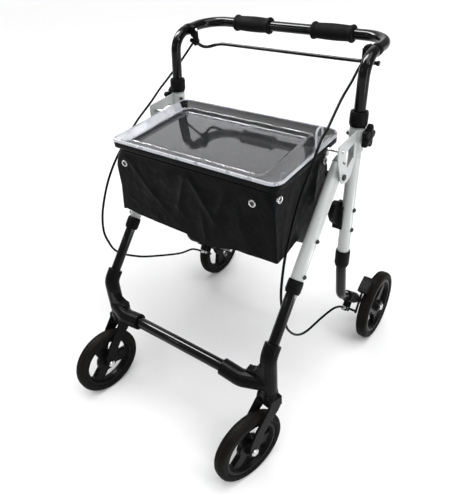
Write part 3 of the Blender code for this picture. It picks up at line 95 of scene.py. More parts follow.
UPRIGHT_X = 0.224
UPRIGHT_Y = 0.127
UPRIGHT_Y_HEIGHT = 0.678
UPRIGHT_LEAN = 0.1025
UPRIGHT_BOTTOM = 0.335
UPRIGHT_TOP = 0.655
UPRIGHT_RADIUS = 0.0127
INNER_RADIUS = 0.011
WALL = 0.0015
GAP = 0.0003
TUBE_FIT = 0.0002
COLLAR_RADIUS = 0.015
HEIGHT_COLLAR_RADIUS = 0.0170
REAR_TUBE_TOP = 0.400
REAR_TUBE_X = 0.222
REAR_KNEE_HEIGHT = 0.322
REAR_ELBOW_Y = 0.1035
REAR_ELBOW_HEIGHT = 0.234
REAR_KNEE_RADIUS = 0.060
REAR_ELBOW_RADIUS = 0.040
REAR_TUBE_PAST_AXLE = 0.009
REAR_COLLAR_BOTTOM = 0.331
REAR_COLLAR_TOP = 0.370
REAR_AXLE_Y = 0.260
REAR_WHEEL_X = 0.251
REAR_WHEEL_RADIUS = 0.090
REAR_HUB_HALF = 0.0155
REAR_AXLE_CAP_X = 0.2725

LEG_X = 0.2135
LEG_Y = -0.003
LEG_Y_HEIGHT = 0.512
LEG_SLOPE = 0.925
LEG_TOP = 0.591
LEG_BOTTOM = 0.410
LEG_RADIUS = 0.013
FRONT_TUBE_TOP = 0.460
FRONT_TUBE_BOTTOM = 0.303
FRONT_COLLAR_BOTTOM = 0.397
FRONT_COLLAR_TOP = 0.417
FOLD_PIVOT_HEIGHT = 0.573
CROSS_TUBE_HEIGHT = 0.237
CROSS_TUBE_Y = -0.219
CROSS_TUBE_RADIUS = 0.0125
CROSS_TUBE_HALF = 0.138

FRONT_WHEEL_RADIUS = 0.084
FRONT_HUB_HALF = 0.0145
FORK_OUTSIDE = 0.0205
AXLE_RADIUS = 0.004
TYRE_WIDTH = 0.027
TYRE_DEPTH = 0.0175
RIM_DEPTH = 0.011
RIM_WIDTH = 0.022
SPOKE_WEB = 0.010
HUB_RADIUS = 0.015
WINDOW_INNER = 0.028
WINDOW_COUNT = 3
SPOKE_WIDTH = 0.030
FRONT_WHEEL_TURN = {"left": 45.0, "right": 45.0}
REAR_WHEEL_TURN = {"left": 200.0, "right": 100.0}

HANDLE_HEIGHT = 0.776
HANDLE_Y = 0.266
HANDLE_BOTTOM = 0.480
HANDLE_FRONT_BEND = 0.042
HANDLE_CORNER_BEND = 0.055
GRIP_INNER = 0.051
GRIP_OUTER = 0.145
GRIP_RADIUS = 0.0163
GRIP_FLARE = 0.0183
BAR_Y = 0.208
BAR_PIVOT_Y = 0.183
BAR_PIVOT_HEIGHT = 0.7515
HEIGHT_COLLAR_BOTTOM = 0.649
HEIGHT_COLLAR_TOP = 0.678
KNOB_HEIGHT = 0.632
KNOB_RADIUS = 0.0200
KNOB_LOBE = 0.0043
KNOB_LOBES = 5
KNOB_INNER_X = 0.2412
KNOB_OUTER_X = 0.2525
KNOB_NECK_RADIUS = 0.009
KNOB_NECK_X = 0.2395

CROSSBAR_RADIUS = 0.0095
CROSSBAR_Y = 0.083
CROSSBAR_HEIGHT = 0.468
CROSSBAR_HALF = 0.2072

HOOP_RADIUS = 0.004
HOOP_HALF = 0.184
HOOP_FRONT = -0.1195
HOOP_BACK = 0.072
HOOP_HEIGHT = 0.6165
HOOP_CORNER = 0.018
PIN_RADIUS = 0.0031
PIN_Y = 0.044
PIN_HEIGHT = 0.631
PIN_OUTER = 0.2350
PIN_DROP_X = 0.2008
PIN_BEND = 0.005

TRAY_HALF = 0.197
TRAY_FRONT = -0.127
TRAY_BACK = 0.112
TRAY_CORNER = 0.023
# The front left corner is sharper than the others, by this share of their radius
TRAY_TIGHT = 0.4
# Widths of the tray's band at the sides, the front and the back
TRAY_BANDS = (0.040, 0.018, 0.040)
TRAY_PANEL_CORNER = 0.018
TRAY_FEET_Y = (-0.090, -0.030, 0.025)
TRAY_FOOT = 0.010

ADJUSTER_X = 0.218
ADJUSTER_DROP = 0.0305
ADJUSTER_RADIUS = 0.0033
ADJUSTER_BACK = 0.1035
ADJUSTER_FRONT = 0.1480
EAR_REACH = 0.132
ANCHOR_REACH = 0.096

CABLE_RADIUS = 0.0026
CABLE_RINGS = 180
CABLE_START = (0.2028, 0.1750, 0.7525)
CABLE_ROUTES = {
    "right": (
        (0.2018, 0.1580, 0.7440),
        (0.2012, 0.1340, 0.7285),
        (0.2010, 0.0920, 0.7080),
        (0.2012, 0.0405, 0.6720),
        (0.2045, 0.0095, 0.6633),
        (0.2050, -0.0320, 0.6202),
        (0.2045, -0.0609, 0.5882),
        (0.2035, -0.0846, 0.5484),
        (0.2005, -0.1005, 0.5018),
        (0.1985, -0.1079, 0.4760),
        (0.1965, -0.1160, 0.4280),
        (0.1965, -0.1205, 0.3857),
        (0.1965, -0.1150, 0.3450),
        (0.1968, -0.1060, 0.3090),
        (0.1972, -0.0942, 0.2758),
        (0.1985, -0.0630, 0.2350),
        (0.2020, -0.0251, 0.2130),
        (0.2090, 0.0328, 0.2085),
        (0.2145, 0.0820, 0.2000),
        (0.2175, 0.1120, 0.1845),
    ),
    "left": (
        (0.2114, 0.1668, 0.7384),
        (0.2194, 0.1592, 0.7255),
        (0.2277, 0.1512, 0.7119),
        (0.2360, 0.1420, 0.6984),
        (0.2400, 0.1273, 0.6885),
        (0.2405, 0.1045, 0.6773),
        (0.2405, 0.0771, 0.6648),
        (0.2400, 0.0450, 0.6475),
        (0.2388, -0.0093, 0.6225),
        (0.2385, -0.0450, 0.5980),
        (0.2385, -0.0828, 0.5709),
        (0.2385, -0.1121, 0.5424),
        (0.2385, -0.1364, 0.5088),
        (0.2385, -0.1600, 0.4600),
        (0.2385, -0.1680, 0.4154),
        (0.2385, -0.1610, 0.3782),
        (0.2385, -0.1495, 0.3495),
        (0.2360, -0.1280, 0.3239),
        (0.2320, -0.0961, 0.2976),
        (0.2280, -0.0679, 0.2784),
        (0.2220, -0.0042, 0.2423),
        (0.2190, 0.0497, 0.2139),
        (0.2180, 0.0920, 0.1990),
        (0.2180, 0.1130, 0.1840),
    ),
}


# Sizes and colours that a user may change

LENGTH = {"subtype": "DISTANCE", "unit": "LENGTH"}
COLOUR = {"size": 3, "min": 0.0, "max": 1.0, "subtype": "COLOR"}


class RollatorSizes(bpy.types.PropertyGroup):
    """Sizes of the soft and small details."""

    fold_depth: bpy.props.FloatProperty(
        name="Fold depth",
        description="How far the long folds stand off the bag's walls",
        default=0.0048,
        min=0.0,
        max=0.010,
        **LENGTH,
    )
    crumple_depth: bpy.props.FloatProperty(
        name="Crumple depth",
        description="How deep the small creases of the bag's cloth are",
        default=0.0020,
        min=0.0,
        max=0.006,
        **LENGTH,
    )
    hem_radius: bpy.props.FloatProperty(
        name="Hem radius",
        description="Radius of the hem that wraps the bag's wire hoop",
        default=0.0049,
        min=0.0043,
        max=0.007,
        **LENGTH,
    )
    stud_radius: bpy.props.FloatProperty(
        name="Press stud radius",
        description="Radius of the press studs on the bag",
        default=0.0076,
        min=0.004,
        max=0.010,
        **LENGTH,
    )
    tread_groove: bpy.props.FloatProperty(
        name="Tread groove",
        description="Depth of the grooves round each tyre",
        default=0.0009,
        min=0.0,
        max=0.002,
        **LENGTH,
    )


class RollatorColours(bpy.types.PropertyGroup):
    """Base colours of the finishes."""

    frame_white: bpy.props.FloatVectorProperty(
        name="White powder coat",
        description="Colour of the uprights, legs and side plates",
        default=(0.50, 0.525, 0.515),
        **COLOUR,
    )
    tube_black: bpy.props.FloatVectorProperty(
        name="Black paint",
        description="Colour of the handle, the cross tubes and the lower tubes",
        default=(0.0028, 0.0028, 0.0031),
        **COLOUR,
    )
    moulded_black: bpy.props.FloatVectorProperty(
        name="Moulded black",
        description="Colour of the castings, forks, collars and brackets",
        default=(0.0040, 0.0040, 0.0043),
        **COLOUR,
    )
    tyre_black: bpy.props.FloatVectorProperty(
        name="Tyre rubber",
        description="Colour of the tyres",
        default=(0.0050, 0.0045, 0.0041),
        **COLOUR,
    )
    bag_black: bpy.props.FloatVectorProperty(
        name="Bag cloth",
        description="Colour of the woven bag",
        default=(0.0020, 0.0022, 0.0026),
        **COLOUR,
    )
    tray_tint: bpy.props.FloatVectorProperty(
        name="Tray tint",
        description="Tint of the clear tray",
        default=(0.78, 0.79, 0.83),
        **COLOUR,
    )


# Finishes

# How strongly the black finishes mirror the studio, where 0.5 is plain plastic
BLACK_GLOSS = 0.05
PAINT_GLOSS = 0.20
CLOTH_GLOSS = 0.05


class Recipe:
    """A material with a Principled shader and the nodes that vary it over the surface."""

    def __init__(self, name):
        self.material = bpy.data.materials.new(name)
        self.material.use_nodes = True
        self.nodes = self.material.node_tree.nodes
        self.links = self.material.node_tree.links
        self.shader = self.nodes["Principled BSDF"]
        self.place = self.nodes.new("ShaderNodeTexCoord").outputs["Object"]

    def set(self, **values):
        """Constant values of the shader's own sockets, with spaces written as underscores."""
        for name, value in values.items():
            self.shader.inputs[name.replace("_", " ")].default_value = value

    def stretched(self, scale):
        mapping = self.nodes.new("ShaderNodeMapping")
        mapping.inputs["Scale"].default_value = scale
        self.links.new(self.place, mapping.inputs["Vector"])
        return mapping.outputs["Vector"]

    def grain(self, scale, detail=3.0, vector=None, roughness=0.5):
        node = self.nodes.new("ShaderNodeTexNoise")
        node.inputs["Scale"].default_value = scale
        node.inputs["Detail"].default_value = detail
        node.inputs["Roughness"].default_value = roughness
        self.links.new(vector or self.place, node.inputs["Vector"])
        return node.outputs["Fac"]

    def cells(self, scale):
        node = self.nodes.new("ShaderNodeTexVoronoi")
        node.inputs["Scale"].default_value = scale
        self.links.new(self.place, node.inputs["Vector"])
        return node.outputs["Distance"]

    def roughness(self, pattern, low, high):
        """Roughness from low to high, by a pattern."""
        node = self.nodes.new("ShaderNodeMapRange")
        for name, number in (("From Min", 0.3), ("From Max", 0.7), ("To Min", low), ("To Max", high)):
            node.inputs[name].default_value = number
        self.links.new(pattern, node.inputs["Value"])
        self.links.new(node.outputs["Result"], self.shader.inputs["Roughness"])

    def colour(self, pattern, base, low, high, start=0.3, end=0.7):
        """Base colour from one shade of a colour to another, by a pattern between start and end."""
        node = self.nodes.new("ShaderNodeValToRGB")
        for element, place, factor in zip(node.color_ramp.elements, (start, end), (low, high)):
            element.position = place
            element.color = (*shade(base, factor), 1.0)
        self.links.new(pattern, node.inputs["Fac"])
        self.links.new(node.outputs["Color"], self.shader.inputs["Base Color"])

    def product(self, first, second):
        node = self.nodes.new("ShaderNodeMath")
        node.operation = "MULTIPLY"
        for value, socket in zip((first, second), node.inputs):
            self.links.new(value, socket)
        return node.outputs["Value"]

    def relief(self, height, distance, strength, under=None):
        """Adds a bump of this height map, on top of another bump where one is given."""
        node = self.nodes.new("ShaderNodeBump")
        node.inputs["Strength"].default_value = strength
        node.inputs["Distance"].default_value = distance
        self.links.new(height, node.inputs["Height"])
        if under:
            self.links.new(under, node.inputs["Normal"])
        self.links.new(node.outputs["Normal"], self.shader.inputs["Normal"])
        return node.outputs["Normal"]


def shade(colour, factor):
    return tuple(min(1.0, part * factor) for part in colour)


def colours():
    return bpy.context.scene.rollator_colours


def sizes():
    return bpy.context.scene.rollator_sizes


def white_powder_coat():
    recipe = Recipe("White powder coat")
    recipe.colour(recipe.grain(9.0, 4.0), colours().frame_white, 0.95, 1.0, 0.35, 0.65)
    recipe.roughness(recipe.grain(70.0, 5.0), 0.26, 0.40)
    recipe.relief(recipe.grain(1100.0, 1.0), 0.00006, 0.35)
    recipe.set(Coat_Weight=0.25, Coat_Roughness=0.12)
    return recipe.material


def gloss_black_paint():
    recipe = Recipe("Gloss black paint")
    recipe.colour(recipe.grain(14.0), colours().tube_black, 1.0, 1.6, 0.35)
    recipe.roughness(recipe.grain(90.0, 5.0), 0.10, 0.19)
    recipe.relief(recipe.grain(1300.0, 1.0), 0.00004, 0.3)
    recipe.set(Specular_IOR_Level=PAINT_GLOSS)
    return recipe.material


def moulded(name, low, high, depth, factor):
    """Moulded black plastic: fine spark-eroded grain, with soft patches of more and less gloss."""
    recipe = Recipe(name)
    recipe.colour(recipe.grain(22.0, 4.0), shade(colours().moulded_black, factor), 1.0, 1.5)
    recipe.roughness(recipe.grain(120.0, 5.0), low, high)
    recipe.relief(recipe.grain(2600.0, 2.0), depth, 0.5)
    recipe.set(Specular_IOR_Level=BLACK_GLOSS)
    return recipe.material


def satin_moulded_black():
    return moulded("Satin moulded black", 0.38, 0.52, 0.00008, 1.15)


def shiny_moulded_black():
    return moulded("Shiny moulded black", 0.22, 0.36, 0.00004, 1.0)


def tyre_rubber():
    recipe = Recipe("Tyre rubber")
    recipe.colour(recipe.grain(35.0, 6.0), colours().tyre_black, 1.0, 1.9, 0.35, 0.75)
    recipe.roughness(recipe.grain(160.0, 4.0), 0.50, 0.72)
    recipe.relief(recipe.grain(1800.0, 4.0), 0.00015, 0.5)
    recipe.set(Specular_IOR_Level=BLACK_GLOSS)
    return recipe.material


def grip_foam():
    recipe = Recipe("Grip foam")
    pores_and_pore_shade = recipe.cells(900.0)
    # The colour follows the pores' depth, darker in the pits than on the rims: painted shade in the pores.
    recipe.colour(pores_and_pore_shade, shade(colours().moulded_black, 1.1), 0.6, 1.6, 0.1, 0.6)
    recipe.roughness(recipe.grain(60.0, 3.0), 0.62, 0.80)
    recipe.relief(pores_and_pore_shade, 0.00025, 0.6)
    recipe.set(Sheen_Weight=0.02, Sheen_Roughness=0.5, Specular_IOR_Level=BLACK_GLOSS)
    return recipe.material


def metal(name, colour, low, high):
    """Plated or blackened metal with fine drawn lines."""
    recipe = Recipe(name)
    lines = recipe.grain(160.0, 4.0, recipe.stretched((1.0, 9.0, 9.0)))
    recipe.colour(lines, colour, 0.85, 1.0)
    recipe.roughness(lines, low, high)
    recipe.relief(lines, 0.00004, 0.3)
    recipe.set(Metallic=1.0)
    return recipe.material


def plated_steel():
    return metal("Plated steel", (0.66, 0.66, 0.65), 0.20, 0.36)


def black_steel():
    return metal("Black steel", (0.05, 0.05, 0.052), 0.26, 0.42)


def cable_skin():
    recipe = Recipe("Cable skin")
    recipe.colour(recipe.grain(60.0), colours().tube_black, 1.0, 1.7)
    recipe.roughness(recipe.grain(200.0), 0.26, 0.40)
    recipe.relief(recipe.grain(1500.0, 2.0), 0.00005, 0.4)
    recipe.set(Specular_IOR_Level=BLACK_GLOSS)
    return recipe.material


def woven_cloth():
    """Coated nylon: a fine plain weave from the cloth's own UV map, soft creases and a slight sheen."""
    recipe = Recipe("Woven bag cloth")
    threads = recipe.nodes.new("ShaderNodeUVMap")
    waves = []
    for direction in ("X", "Y"):
        wave = recipe.nodes.new("ShaderNodeTexWave")
        wave.wave_type = "BANDS"
        wave.bands_direction = direction
        wave.inputs["Scale"].default_value = 260.0
        wave.inputs["Distortion"].default_value = 0.6
        recipe.links.new(threads.outputs["UV"], wave.inputs["Vector"])
        waves.append(wave.outputs["Fac"])
    weave = recipe.product(*waves)
    recipe.colour(recipe.grain(26.0, 6.0), colours().bag_black, 0.75, 1.7, 0.3, 0.72)
    recipe.roughness(recipe.grain(40.0, 5.0), 0.33, 0.50)
    crumple = recipe.relief(recipe.grain(75.0, 5.0, roughness=0.6), 0.0018, 0.45)
    recipe.relief(weave, 0.00012, 0.35, crumple)
    recipe.set(Sheen_Weight=0.01, Sheen_Roughness=0.45, Specular_IOR_Level=CLOTH_GLOSS)
    return recipe.material


def clear_acrylic(name, milk, low, high, mirror=1.0, light=1.0):
    """Clear plastic with faint moulding haze.

    milk is the share of light that it scatters like frosted plastic, low and high bound its roughness, mirror
    scales what it mirrors, and light scales its tint.
    """
    recipe = Recipe(name)
    recipe.colour(recipe.grain(18.0, 3.0), shade(colours().tray_tint, light), 0.94, 1.0)
    recipe.roughness(recipe.grain(50.0, 4.0), low, high)
    recipe.relief(recipe.grain(30.0, 1.0), 0.0003, 0.05)
    recipe.set(Transmission_Weight=1.0 - milk, IOR=1.49, Specular_Tint=(mirror, mirror, mirror, 1.0))
    return recipe.material


def tray_panel():
    return clear_acrylic("Clear tray panel", 0.02, 0.02, 0.05)


# A grey haze for the left band that stands in for the reflection on a clear band: a painted reflection.
def tray_band_painted_reflection():
    return clear_acrylic("Tray band with painted reflection", 0.30, 0.10, 0.18)


def tray_back():
    """The clear band over the bag's black sleeve, which mirrors little."""
    return clear_acrylic("Dark tray band", 0.0, 0.06, 0.12, mirror=0.10, light=0.03)


def tray_rim():
    return clear_acrylic("Frosted tray edge", 0.50, 0.25, 0.38)


def grey_plastic():
    """The grey plugs in the legs' tops."""
    recipe = Recipe("Grey plastic")
    recipe.colour(recipe.grain(24.0, 4.0), shade(colours().frame_white, 0.42), 0.9, 1.0)
    recipe.roughness(recipe.grain(130.0, 5.0), 0.34, 0.48)
    recipe.relief(recipe.grain(2400.0, 2.0), 0.00005, 0.4)
    return recipe.material


def pale_floor():
    recipe = Recipe("Pale floor")
    recipe.colour(recipe.grain(0.8), (1.0, 1.0, 1.0), 0.90, 0.92)
    recipe.set(Roughness=0.9, Specular_IOR_Level=0.1)
    return recipe.material


FINISHES = {
    "white_paint": white_powder_coat,
    "black_paint": gloss_black_paint,
    "black_plastic": satin_moulded_black,
    "gloss_plastic": shiny_moulded_black,
    "tyre_rubber": tyre_rubber,
    "grip_foam": grip_foam,
    "steel": plated_steel,
    "dark_steel": black_steel,
    "cable_skin": cable_skin,
    "bag_fabric": woven_cloth,
    "clear_acrylic": tray_panel,
    "frosted_edge": tray_rim,
    "band_with_painted_reflection": tray_band_painted_reflection,
    "dark_band": tray_back,
    "grey_plastic": grey_plastic,
}
mixed = {}


def finish(slot):
    """The material of a finish, mixed once."""
    if slot not in mixed:
        mixed[slot] = FINISHES[slot]()
    return mixed[slot]


# Making meshes

WELD_DISTANCE = 0.00001
CUT_DISTANCE = 0.000001
# How far a tube's bore goes in before it is closed
BORE_DEPTH = 0.012
BEND_STEP = math.radians(6)


def at(x, y, z):
    """A point given in the part's own numbers."""
    return Vector((x, y + SHIFT_Y, z))


def upright_at(sign, height):
    return at(sign * UPRIGHT_X, UPRIGHT_Y + UPRIGHT_LEAN * (height - UPRIGHT_Y_HEIGHT), height)


def leg_at(sign, height):
    return at(sign * LEG_X, LEG_Y + LEG_SLOPE * (height - LEG_Y_HEIGHT), height)


def rear_elbow(sign):
    return at(sign * REAR_TUBE_X, REAR_ELBOW_Y, REAR_ELBOW_HEIGHT)


def rear_axle_point(sign):
    return at(sign * REAR_TUBE_X, REAR_AXLE_Y, REAR_WHEEL_RADIUS)


def rear_run_at(sign, reach, drop, x):
    """A point beside the rear tube: how far up it from the axle, and how far off its lower side."""
    axle = rear_axle_point(sign)
    along = (rear_elbow(sign) - axle).normalized()
    below = X_AXIS.cross(Vector((0, along.y, along.z)))
    point = axle + along * reach + below * drop
    return Vector((sign * x, point.y, point.z))


def linked(name, data):
    """A new object of this data, in the scene."""
    made = bpy.data.objects.new(name, data)
    bpy.context.scene.collection.objects.link(made)
    return made


def piece(name, mesh, slot, *nodes, sharp=38.0, body=None, rides=True):
    """An object of a mesh with its finish. It rides on a named body, or on that of the node it stands for."""
    made = linked(name, mesh)
    if not mesh.materials:
        mesh.materials.append(finish(slot))
    mesh.shade_smooth()
    mesh.set_sharp_from_angle(angle=math.radians(sharp))
    if nodes:
        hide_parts(*nodes)
    if rides:
        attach(made, body or frame["nodes"][nodes[0]]["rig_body"])
    return made


def mesh_of(name, points, faces):
    mesh = bpy.data.meshes.new(name)
    mesh.from_pydata(points, [], faces)
    mesh.validate()
    return mesh


def skin(name, rings, along=False, open_start=False):
    """A mesh over rings with equal counts, closed at its ends or, with along, back to its first ring.

    A ring of one point closes an end. open_start leaves the first ring open.
    """
    points, faces, starts = [], [], []
    for ring in rings:
        starts.append(len(points))
        points.extend(ring)
    pairs = list(zip(range(len(rings)), range(1, len(rings))))
    if along:
        pairs.append((len(rings) - 1, 0))
    for first, second in pairs:
        low, high = starts[first], starts[second]
        few, many = len(rings[first]), len(rings[second])
        count = max(few, many)
        for index in range(count):
            after = (index + 1) % count
            if few == 1:
                faces.append((low, high + after, high + index))
            elif many == 1:
                faces.append((low + index, low + after, high))
            else:
                faces.append((low + index, low + after, high + after, high + index))
    if not along:
        if len(rings[0]) > 1 and not open_start:
            faces.append(tuple(range(len(rings[0])))[::-1])
        if len(rings[-1]) > 1:
            faces.append(tuple(range(starts[-1], len(points))))
    return mesh_of(name, points, faces)


def softened(profile, radius, closed, steps=3):
    """A flat outline with its corners rounded, each by at most radius."""
    corners = [Vector(point) for point in profile]
    count = len(corners)
    result = []
    for index, corner in enumerate(corners):
        if not closed and index in (0, count - 1):
            result.append(corner)
            continue
        arriving = corners[index - 1] - corner
        leaving = corners[(index + 1) % count] - corner
        if min(arriving.length, leaving.length) < 1e-7:
            continue
        angle = arriving.angle(leaving)
        if angle > math.radians(174):
            result.append(corner)
            continue
        reach = min(radius / math.tan(angle / 2), 0.45 * arriving.length, 0.45 * leaving.length)
        start = corner + arriving.normalized() * reach
        end = corner + leaving.normalized() * reach
        for step in range(steps + 1):
            share = step / steps
            result.append(start * (1 - share) ** 2 + corner * (2 * share * (1 - share)) + end * share**2)
    return result


def turns(count):
    """Even angles round a full turn."""
    return [math.tau * index / count for index in range(count)]


def ring_at(centre, side, up, radius, sides):
    return [centre + (side * math.cos(a) + up * math.sin(a)) * radius for a in turns(sides)]


def turned_mesh(name, profile, soft, start, axis, sides, closed=False, steps=3):
    """A mesh turned about an axis from (radius, distance along the axis) points, with softened corners."""
    axis = Vector(axis).normalized()
    across = axis.orthogonal().normalized()
    up = axis.cross(across)
    rings = []
    for radius, along in softened(profile, soft, closed, steps):
        centre = Vector(start) + axis * along
        rings.append([centre] if radius < 1e-6 else ring_at(centre, across, up, radius, sides))
    return skin(name, rings, along=closed)


def both_sides(profile):
    """A turned outline made whole by its mirror image."""
    return profile + [(radius, -along) for radius, along in reversed(profile)]


def directions(path, cyclic=False):
    """A tangent and two square directions at each point, turned as little as possible along the path."""
    count = len(path)
    tangents = []
    for index in range(count):
        before = path[index - 1] if index or cyclic else path[0]
        after = path[(index + 1) % count] if index < count - 1 or cyclic else path[-1]
        tangents.append((after - before).normalized())
    side = tangents[0].orthogonal().normalized()
    result = []
    for tangent in tangents:
        side = (side - tangent * side.dot(tangent)).normalized()
        result.append((tangent, side, tangent.cross(side)))
    return result


def tube_mesh(name, path, radius, wall=None, sides=36, lip=0.0005):
    """An open tube with rounded lips along a path, or a solid bar where there is no wall."""
    path = [Vector(point) for point in path]
    ways = directions(path)
    (first_way, first_side, first_up), (last_way, last_side, last_up) = ways[0], ways[-1]
    start, end = [], []
    steps = [(0.0, radius - lip), (lip * 0.3, radius - lip * 0.3), (lip, radius)]
    if wall:
        bore = radius - wall
        steps = [(BORE_DEPTH, bore), (lip, bore), (0.0, bore + lip), *steps]
    for inset, size in steps:
        start.append(ring_at(path[0] + first_way * inset, first_side, first_up, size, sides))
        end.append(ring_at(path[-1] - last_way * inset, last_side, last_up, size, sides))
    middle = [
        ring_at(point, side, up, radius, sides)
        for point, (_, side, up) in zip(path[1:-1], ways[1:-1])
    ]
    return skin(name, start + middle + end[::-1])


def level_loop(name, path, radius, sides=16):
    """A closed wire along a level path."""
    rings = [
        ring_at(point, Z_AXIS.cross(way), Z_AXIS, radius, sides)
        for point, (way, _, _) in zip(path, directions(path, cyclic=True))
    ]
    return skin(name, rings, along=True)


def upright_loop(name, path, radius, sides):
    """A closed wire along a path that is square to X."""
    rings = [
        ring_at(point, X_AXIS, way.cross(X_AXIS), radius, sides)
        for point, (way, _, _) in zip(path, directions(path, cyclic=True))
    ]
    return skin(name, rings, along=True)


def filleted(corners, radii):
    """A path whose inner corners are rounded to the given radii."""
    corners = [Vector(corner) for corner in corners]
    points = [corners[0]]
    for before, corner, after, radius in zip(corners, corners[1:], corners[2:], radii):
        arriving = (before - corner).normalized()
        leaving = (after - corner).normalized()
        turn = math.pi - arriving.angle(leaving)
        middle = corner + (arriving + leaving).normalized() * (radius / math.cos(turn / 2))
        first = corner + arriving * radius * math.tan(turn / 2) - middle
        last = corner + leaving * radius * math.tan(turn / 2) - middle
        count = max(2, math.ceil(turn / BEND_STEP))
        for index in range(count + 1):
            share = index / count
            ahead = math.sin((1 - share) * turn) * first + math.sin(share * turn) * last
            points.append(middle + ahead / math.sin(turn))
    points.append(corners[-1])
    return points


def smooth_route(route, count):
    """Evenly spaced points of a smooth curve through a route's own points."""
    route = [Vector(point) for point in route]
    padded = [2 * route[0] - route[1], *route, 2 * route[-1] - route[-2]]
    fine = []
    for a, b, c, d in zip(padded, padded[1:], padded[2:], padded[3:]):
        for index in range(12):
            t = index / 12
            curve = 2 * b + (c - a) * t + (2 * a - 5 * b + 4 * c - d) * t**2
            fine.append(0.5 * (curve + (3 * b - a - 3 * c + d) * t**3))
    fine.append(route[-1])
    travelled = [0.0]
    for before, after in zip(fine, fine[1:]):
        travelled.append(travelled[-1] + (after - before).length)
    points = []
    reached = 0
    for index in range(count):
        target = travelled[-1] * index / (count - 1)
        while reached < len(fine) - 2 and travelled[reached + 1] < target:
            reached += 1
        share = (target - travelled[reached]) / (travelled[reached + 1] - travelled[reached])
        points.append(fine[reached].lerp(fine[reached + 1], share))
    return points, travelled[-1]


def arc(centre, radius, start, end, count):
    """Points of an arc, from and to angles in degrees."""
    angles = [math.radians(start + (end - start) * index / count) for index in range(count + 1)]
    return [(centre[0] + radius * math.cos(a), centre[1] + radius * math.sin(a)) for a in angles]


def rounded_rectangle(low, high, radius, count=8, tight=1.0):
    """A rectangle's outline with round corners, anticlockwise. tight scales the radius at the low corner."""
    low_radius = radius * tight
    corners = (
        (high[0] - radius, high[1] - radius, radius, 0),
        (low[0] + radius, high[1] - radius, radius, 90),
        (low[0] + low_radius, low[1] + low_radius, low_radius, 180),
        (high[0] - radius, low[1] + radius, radius, 270),
    )
    return [point for x, y, size, turn in corners for point in arc((x, y), size, turn, turn + 90, count)]


def eased(share):
    """A share that starts and ends slowly."""
    return share * share * (3 - 2 * share)


def evaluated_mesh(made):
    """The mesh that an object's modifiers or curve settings make, without the object."""
    bpy.context.view_layer.update()
    mesh = bpy.data.meshes.new_from_object(made.evaluated_get(bpy.context.evaluated_depsgraph_get()))
    bpy.data.objects.remove(made)
    return mesh


def thickened(mesh, thickness, offset, even=False):
    """A sheet's mesh with a thickness, which grows out at offset 1 and in at offset -1."""
    holder = linked(mesh.name, mesh)
    shell = holder.modifiers.new("thickness", "SOLIDIFY")
    shell.thickness = thickness
    shell.offset = offset
    shell.use_even_offset = even
    return evaluated_mesh(holder)


def trimmed(mesh, top):
    """Cuts off what stands above a height and closes the cut."""
    work = bmesh.new()
    work.from_mesh(mesh)
    bmesh.ops.remove_doubles(work, verts=work.verts, dist=WELD_DISTANCE)
    parts = work.verts[:] + work.edges[:] + work.faces[:]
    cut = bmesh.ops.bisect_plane(
        work, geom=parts, dist=CUT_DISTANCE, plane_co=(0.0, 0.0, top), plane_no=Z_AXIS, clear_outer=True
    )
    edges = [part for part in cut["geom_cut"] if isinstance(part, bmesh.types.BMEdge)]
    bmesh.ops.triangle_fill(work, edges=edges, normal=Z_AXIS)
    work.to_mesh(mesh)
    work.free()


def cast_copy(node, slot, voxel, rounds, top=None):
    """A copy of a node with the rounded edges of a moulding, which stands for it."""
    solid = frame["nodes"][node]
    copied = solid.data.copy()
    if top:
        trimmed(copied, top)
    made = linked(f"{node}_moulding", copied)
    weld = made.modifiers.new("weld", "WELD")
    weld.merge_threshold = WELD_DISTANCE
    remesh = made.modifiers.new("remesh", "REMESH")
    remesh.mode = "VOXEL"
    remesh.voxel_size = voxel
    smooth = made.modifiers.new("smooth", "SMOOTH")
    smooth.factor = 0.5
    smooth.iterations = rounds
    mesh = evaluated_mesh(made)
    mesh.transform(solid.matrix_world)
    mesh.materials.clear()
    return piece(f"{node}_moulding", mesh, slot, node, sharp=180.0)


def joint_place(name):
    """A joint's point and its axis, turned to point towards +X."""
    found = next(joint for joint in frame["joints"] if joint["name"] == name)
    axis = Vector(found["axis"]).normalized()
    return Vector(found["pos_m"]), axis if axis.x >= 0 else -axis


def joined_mesh(name, meshes):
    """One mesh of several."""
    bm = bmesh.new()
    for mesh in meshes:
        bm.from_mesh(mesh)
    joined = bpy.data.meshes.new(name)
    bm.to_mesh(joined)
    bm.free()
    return joined


# Tubes and collars


